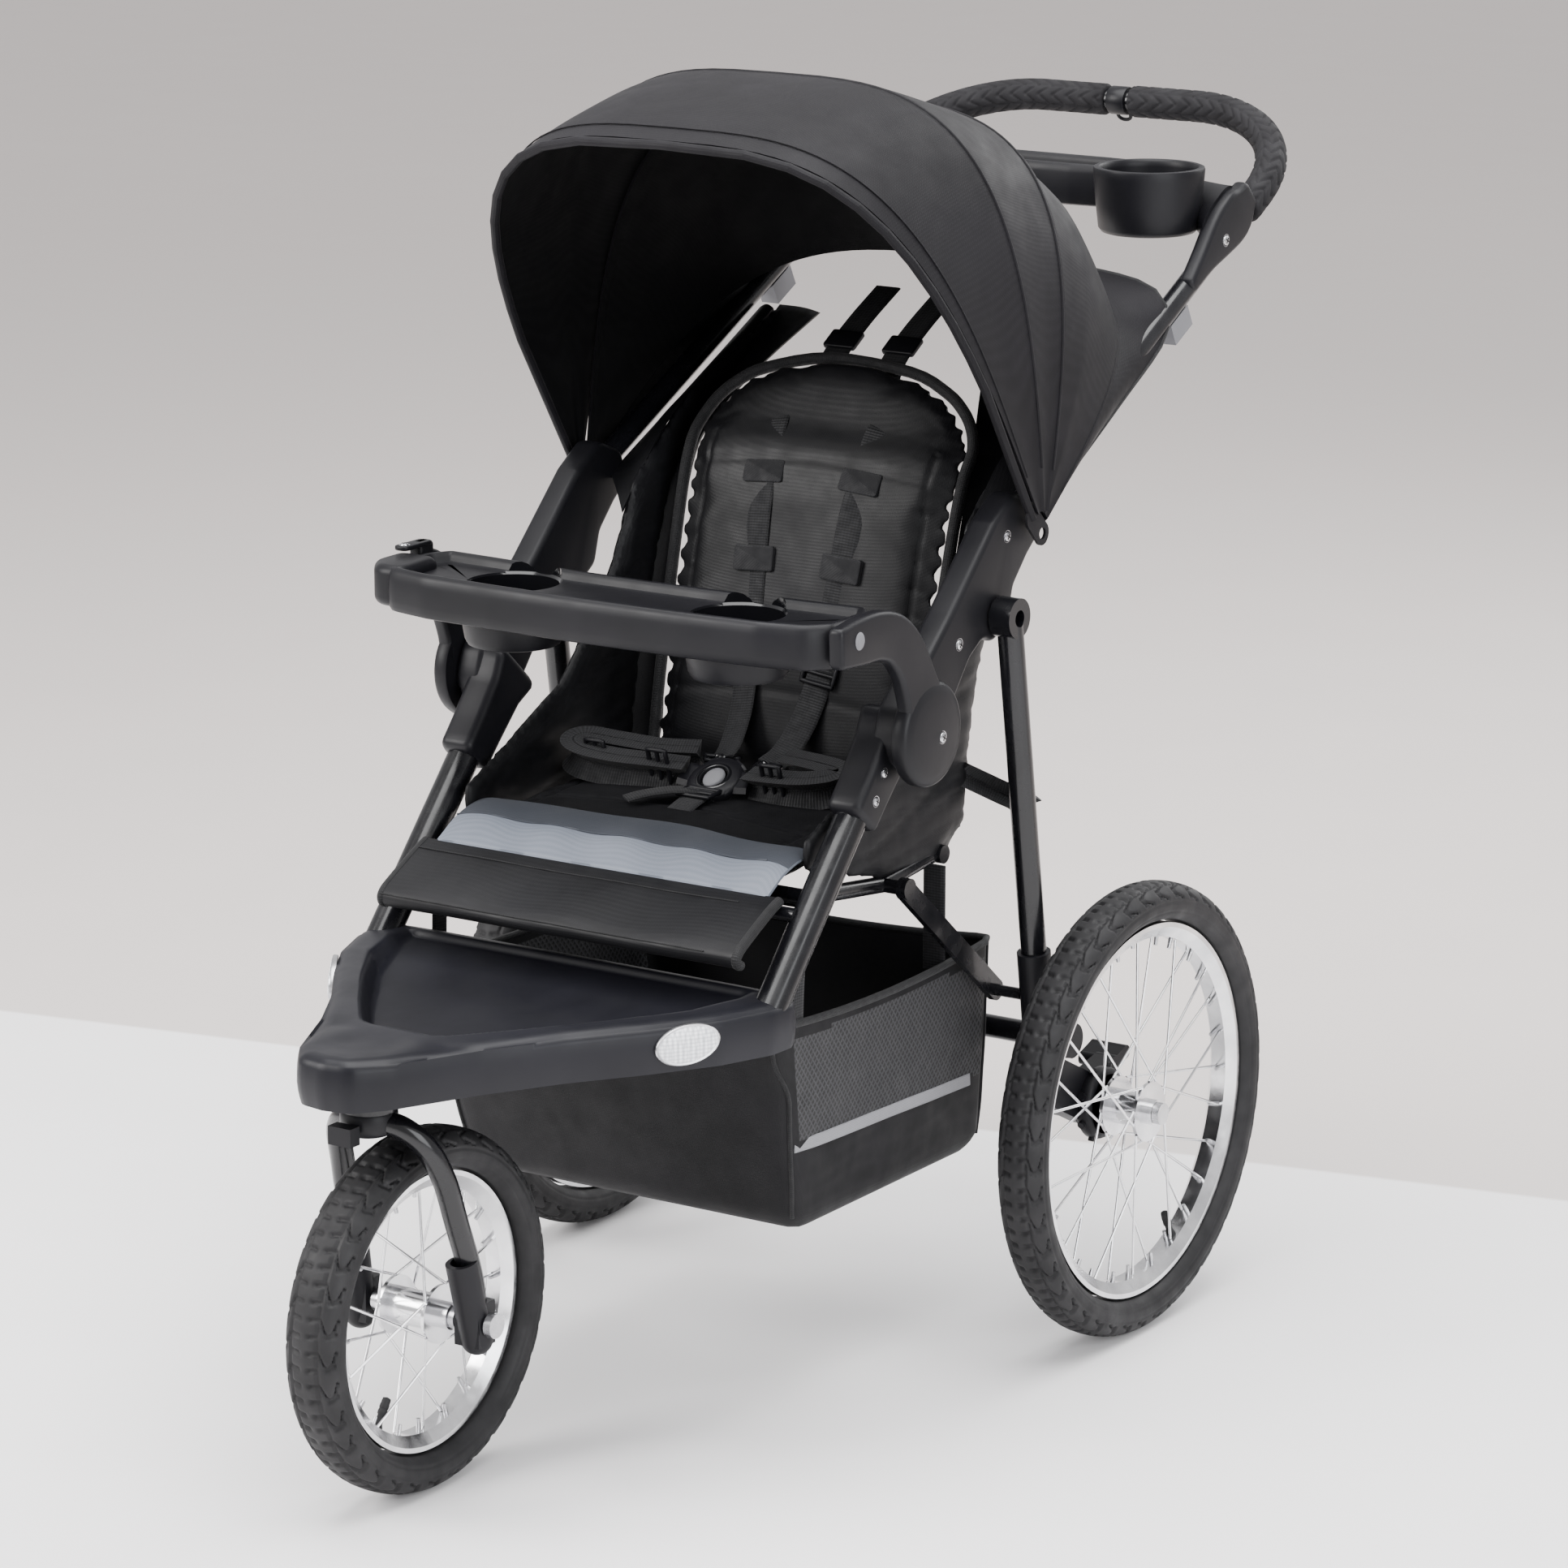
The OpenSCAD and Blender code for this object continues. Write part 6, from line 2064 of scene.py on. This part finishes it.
@dataclass
class Basket:
    """The hanging storage basket: cloth front, netted sides, reflective tape and bound edges."""

    top_z: float = 351.0
    floor_z: float = 160.0
    half: Tuple[float, float] = (182.0, 168.0)
    front_y: Tuple[float, float] = (243.5, 297.0)
    back_y: Tuple[float, float] = (575.5, 583.0)
    sag: float = 9.0
    tape: Tuple[float, float] = (241.0, 229.0)
    cloth: float = 2.0
    net_top: float = 334.0
    net_front: float = 262.0
    net_back: float = 566.0
    net_lean: float = 0.26

    def loop(self, drop: float, count: int = 120, inward: float = 0.0) -> Array:
        """One level of the basket.

        Args:
            drop: nought at the rim, one at the floor.
            count: points on it.
            inward: how far inside the cloth.

        Returns:
            A closed loop of points.
        """
        belly = 5.0 * math.sin(math.pi * min(1.0, drop * 1.05))
        tuck = 9.0 * max(0.0, (drop - 0.9) / 0.1) ** 2
        h = float(np.interp(drop, [0, 1], self.half)) + belly * 0.3 - tuck - inward
        f = float(np.interp(drop, [0, 1], self.front_y)) - belly * 0.3 + tuck + inward
        b = float(np.interp(drop, [0, 1], self.back_y)) - tuck - inward
        ring = rounded_outline([(-h, f, 12), (h, f, 12), (h, b, 14), (-h, b, 14)], 5)
        closed = np.vstack([ring, ring[:1]])
        flat = spread(closed, np.linspace(0, lengths(closed)[-1], count, endpoint=False))
        middle = (f + b) / 2
        span = np.clip(1 - ((flat[:, 1] - middle) / ((b - f) / 2)) ** 2, 0, 1)
        across = np.clip(1 - (flat[:, 0] / h) ** 2, 0, 1)
        z = self.top_z + (self.floor_z - self.top_z) * drop - self.sag * (1 - drop) * np.maximum(span, across)
        ripple = np.sin(flat[:, 0] * 0.05 + drop * 7) * np.sin(flat[:, 1] * 0.043 + drop * 9)
        wrinkle = 1.2 * ripple * math.sin(math.pi * drop)
        return np.column_stack([flat[:, 0] + wrinkle * np.sign(flat[:, 0]) * 0.6,
                                flat[:, 1] - wrinkle * 0.5, z])

    def tape_z(self, y: Array) -> Array:
        """Height of the tape along the sides."""
        return np.interp(y, [self.front_y[0] - 0.5, self.back_y[0] + 0.5], self.tape)

    def shell(self) -> bpy.types.Object:
        """The sewn shell."""
        drops = np.linspace(0, 1, 44)
        outer = np.array([self.loop(d) for d in drops])
        inner = np.array([self.loop(d, inward=self.cloth) for d in drops])
        floor_mid = np.array([0, (self.front_y[1] + self.back_y[1]) / 2, 0])
        lows = []
        for share in (0.9, 0.7, 0.45, 0.2, 0.0):
            ring = floor_mid + (outer[-1] - floor_mid) * [share, share, 1]
            lows.append(ring - [0, 0, 1] * np.full((len(ring), 1), 3.5 * (1 - share ** 2)))
        piece = Workpiece("basket_shell", finish(Finish.BASKET), finish(Finish.NET))
        piece.grid(np.concatenate([outer, lows]), 0, wrap=True)
        piece.grid(np.concatenate([inner, np.array(lows) + [0, 0, self.cloth]]), 0, wrap=True, flip=True)
        piece.grid(np.array([outer[0], inner[0]]), 0, wrap=True)
        obj = piece.object(60)
        mesh = obj.data
        for face in mesh.polygons:
            x, y, z = np.array(face.center) / MM
            y -= AXLE_Y / MM
            fringe = self.net_front + (self.top_z - z) * self.net_lean
            netted = abs(x) > self.half[1] - 18 and abs(face.normal.x) > 0.8 and fringe < y < self.net_back
            if netted and self.tape_z(y) + 3 < z < self.net_top:
                face.material_index = 1
        return obj

    def chart_net(self, obj: bpy.types.Object) -> None:
        """Lays the chart square to the sides, so that the net runs true."""
        chart = obj.data.uv_layers[0]
        for corner in obj.data.loops:
            p = obj.data.vertices[corner.vertex_index].co
            chart.data[corner.index].uv = (p.y, p.z)

    def trims(self) -> bpy.types.Object:
        """Rim binding, corner seams, tape and hangers."""
        piece = Workpiece("basket_trims", finish(Finish.BINDING), finish(Finish.STRIPE), finish(Finish.STRAP))
        rim = self.loop(0.0)
        piece.rod(np.vstack([rim, rim[:2]]), 3.2, 0, 10)
        levels = [self.loop(d) for d in np.linspace(0.02, 0.97, 26)]
        for sx in (-1, 1):
            for fy in (-1, 1):
                corner = []
                for ring in levels:
                    score = ring[:, 0] * sx + ring[:, 1] * fy
                    corner.append(ring[int(np.argmax(score))])
                piece.rod(smooth_line(corner[::4], 4), 1.9, 0, 8)
            tape = []
            for y in np.linspace(281, 570, 30):
                z = float(self.tape_z(np.array(y)))
                best = min(np.linspace(0.3, 0.8, 60),
                           key=lambda d: abs(self.top_z + (self.floor_z - self.top_z) * d - z))
                ring = self.loop(float(best))
                side = ring[ring[:, 0] * sx > 120]
                near = side[int(np.argmin(np.abs(side[:, 1] - y)))]
                tape.append((near[0] + sx * 1.1, y, z))
            piece.strap(smooth_line(tape[::3], 4), 10.5, 1.2, (sx, 0, 0.07), 1)
            top = [(sx * 180.2, 273, 340), (sx * 180.5, 274, 372), (sx * 181, 276, 404), (sx * 182, 278, 432)]
            piece.strap(smooth_line(top, 5), 20, 2.2, (sx, 0, 0), 2)
            rear = [(sx * 170, 500, 338), (sx * 170, 500, 372), (sx * 170, 500, 404), (sx * 170, 500, 430)]
            piece.strap(smooth_line(rear, 5), 22, 2.4, (0, 1, 0), 2)
        return piece.object(60)

    def build(self) -> None:
        """Builds the basket."""
        shell = self.shell()
        self.chart_net(shell)
        settle(shell, "front_frame", "basket", slot="basket_fabric")
        settle(self.trims(), "front_frame", slot="basket_fabric")


# ---------- fork ----------


@dataclass
class Fork:
    """The bent tube fork over the front wheel, with its crown boss."""

    half: Tuple[Tuple[float, float, float], ...] = ((58, 0, 136), (56.5, -4, 185), (53.5, -19, 236),
                                                    (50, -30, 274), (43, -43, 302), (29, -53, 317),
                                                    (12, -58, 321.5))
    tube_r: float = 9.8
    steer_y: float = -59.0

    def build(self) -> None:
        """Builds the fork."""
        piece = Workpiece("front_fork", finish(Finish.TUBE), finish(Finish.PLASTIC))
        left = [(-x, y, z) for x, y, z in self.half]
        path = smooth_line([*self.half, (0, self.steer_y, 322.5), *left[::-1]], 10)
        piece.rod(path, self.tube_r, 0, 24, (0, -1, 0.2))
        boss = [(0.3, -9), (17, -9), (21.5, -6), (23, 0), (23, 9), (20, 13), (15, 15), (14.5, 30), (0.3, 30)]
        piece.turned(boss, (0, self.steer_y, 320), (0, 0, 1), 1, 48)
        settle(piece.object(50), "fork", "fork", slot="black_tube")


# ---------- rear ----------


@dataclass
class Rear:
    """Small pieces at the rear legs: recline straps and brake housings."""

    leg_x: float = 235.0
    axle: Tuple[float, float] = (644.0, 198.0)

    def strap(self, side: Side) -> bpy.types.Object:
        """The webbing from the seat's side round to the rear leg."""
        piece = Workpiece(f"recline_strap_{side.tag}", finish(Finish.STRAP), finish(Finish.PLASTIC))
        path = smooth_line([(172, 536, 502), (182, 552, 492), (198, 562, 483), (214, 562, 479),
                            (226, 554, 478), (232, 546, 479)], 7)
        piece.strap(path, 2.4, 20, (0, 0, 1))
        return piece.mirrored(side).object(50)

    def drum(self, side: Side) -> bpy.types.Object:
        """The ribbed brake housing inboard of one hub."""
        piece = Workpiece(f"brake_drum_{side.tag}", finish(Finish.PLASTIC), finish(Finish.STEEL),
                          finish(Finish.TUBE))
        wall = [(0.4, 238), (22, 238), (26, 239.5), (27, 243), (30, 244), (31.5, 246), (31.5, 253),
                (30, 256), (26, 257.4), (0.4, 257.4)]
        piece.turned(wall, (0, *self.axle), (1, 0, 0), 0, 48)
        for k in range(8):
            a = 2 * math.pi * (k + 0.5) / 8
            way = np.array([0, math.cos(a), math.sin(a)])
            foot = np.array([249.5, *self.axle]) + way * 29
            piece.rod(np.linspace(foot, foot + way * 5.5, 3), 3.4, 0, 10)
        return piece.mirrored(side).object(45)

    def build(self) -> None:
        """Builds both sides and dresses the tubes."""
        for side in Side:
            settle(self.drum(side), "rear_legs", slot="black_plastic")
            strap = settle(self.strap(side), "rear_legs", slot="webbing")
            place(self.leg_x * side.value, 546, 479)
            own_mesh(strap)
        dress(Finish.TUBE, "rear_leg_l", "rear_leg_r", "cross_tube", "brace_l", "brace_r", "seat_frame",
              "handle_tube", "lower_tube_l", "lower_tube_r", "steering_head")
        dress(Finish.PLASTIC, "leg_foot_l", "leg_foot_r", "brake_pedal_l", "brake_pedal_r", "fork_covers",
              "swivel_lock")
        dress(Finish.STEEL, "rear_axles", "front_axle")
        dress(Finish.GREY, "trigger_l", "trigger_r")


def main() -> None:
    """Builds every sub-assembly in order."""
    logging.basicConfig(level=logging.INFO, format="%(message)s")
    Studio().build()
    Wheel("front", "front_wheel", "front_tyre", ("front_rim", "front_spokes_set", "front_hub"),
          (0, 0, 148.8), 297.6, 51, 34, 236).build(20)
    for side in Side:
        t, word = side.tag, "left" if side is Side.LEFT else "right"
        Wheel(f"rear_{word}", f"rear_wheel_{word}", f"rear_tyre_{t}",
              (f"rear_rim_{t}", f"rear_spokes_{t}", f"rear_hub_{t}"), (282 * side.value, 644, 198), 396, 44,
              46, 298).build(28)
    FootShell().build()
    SideJoints().build()
    ChildTray().build()
    Handle().build()
    Canopy().build()
    Seat().build()
    Harness().build()
    Basket().build()
    Fork().build()
    Rear().build()


if __name__ == "__main__":
    main()
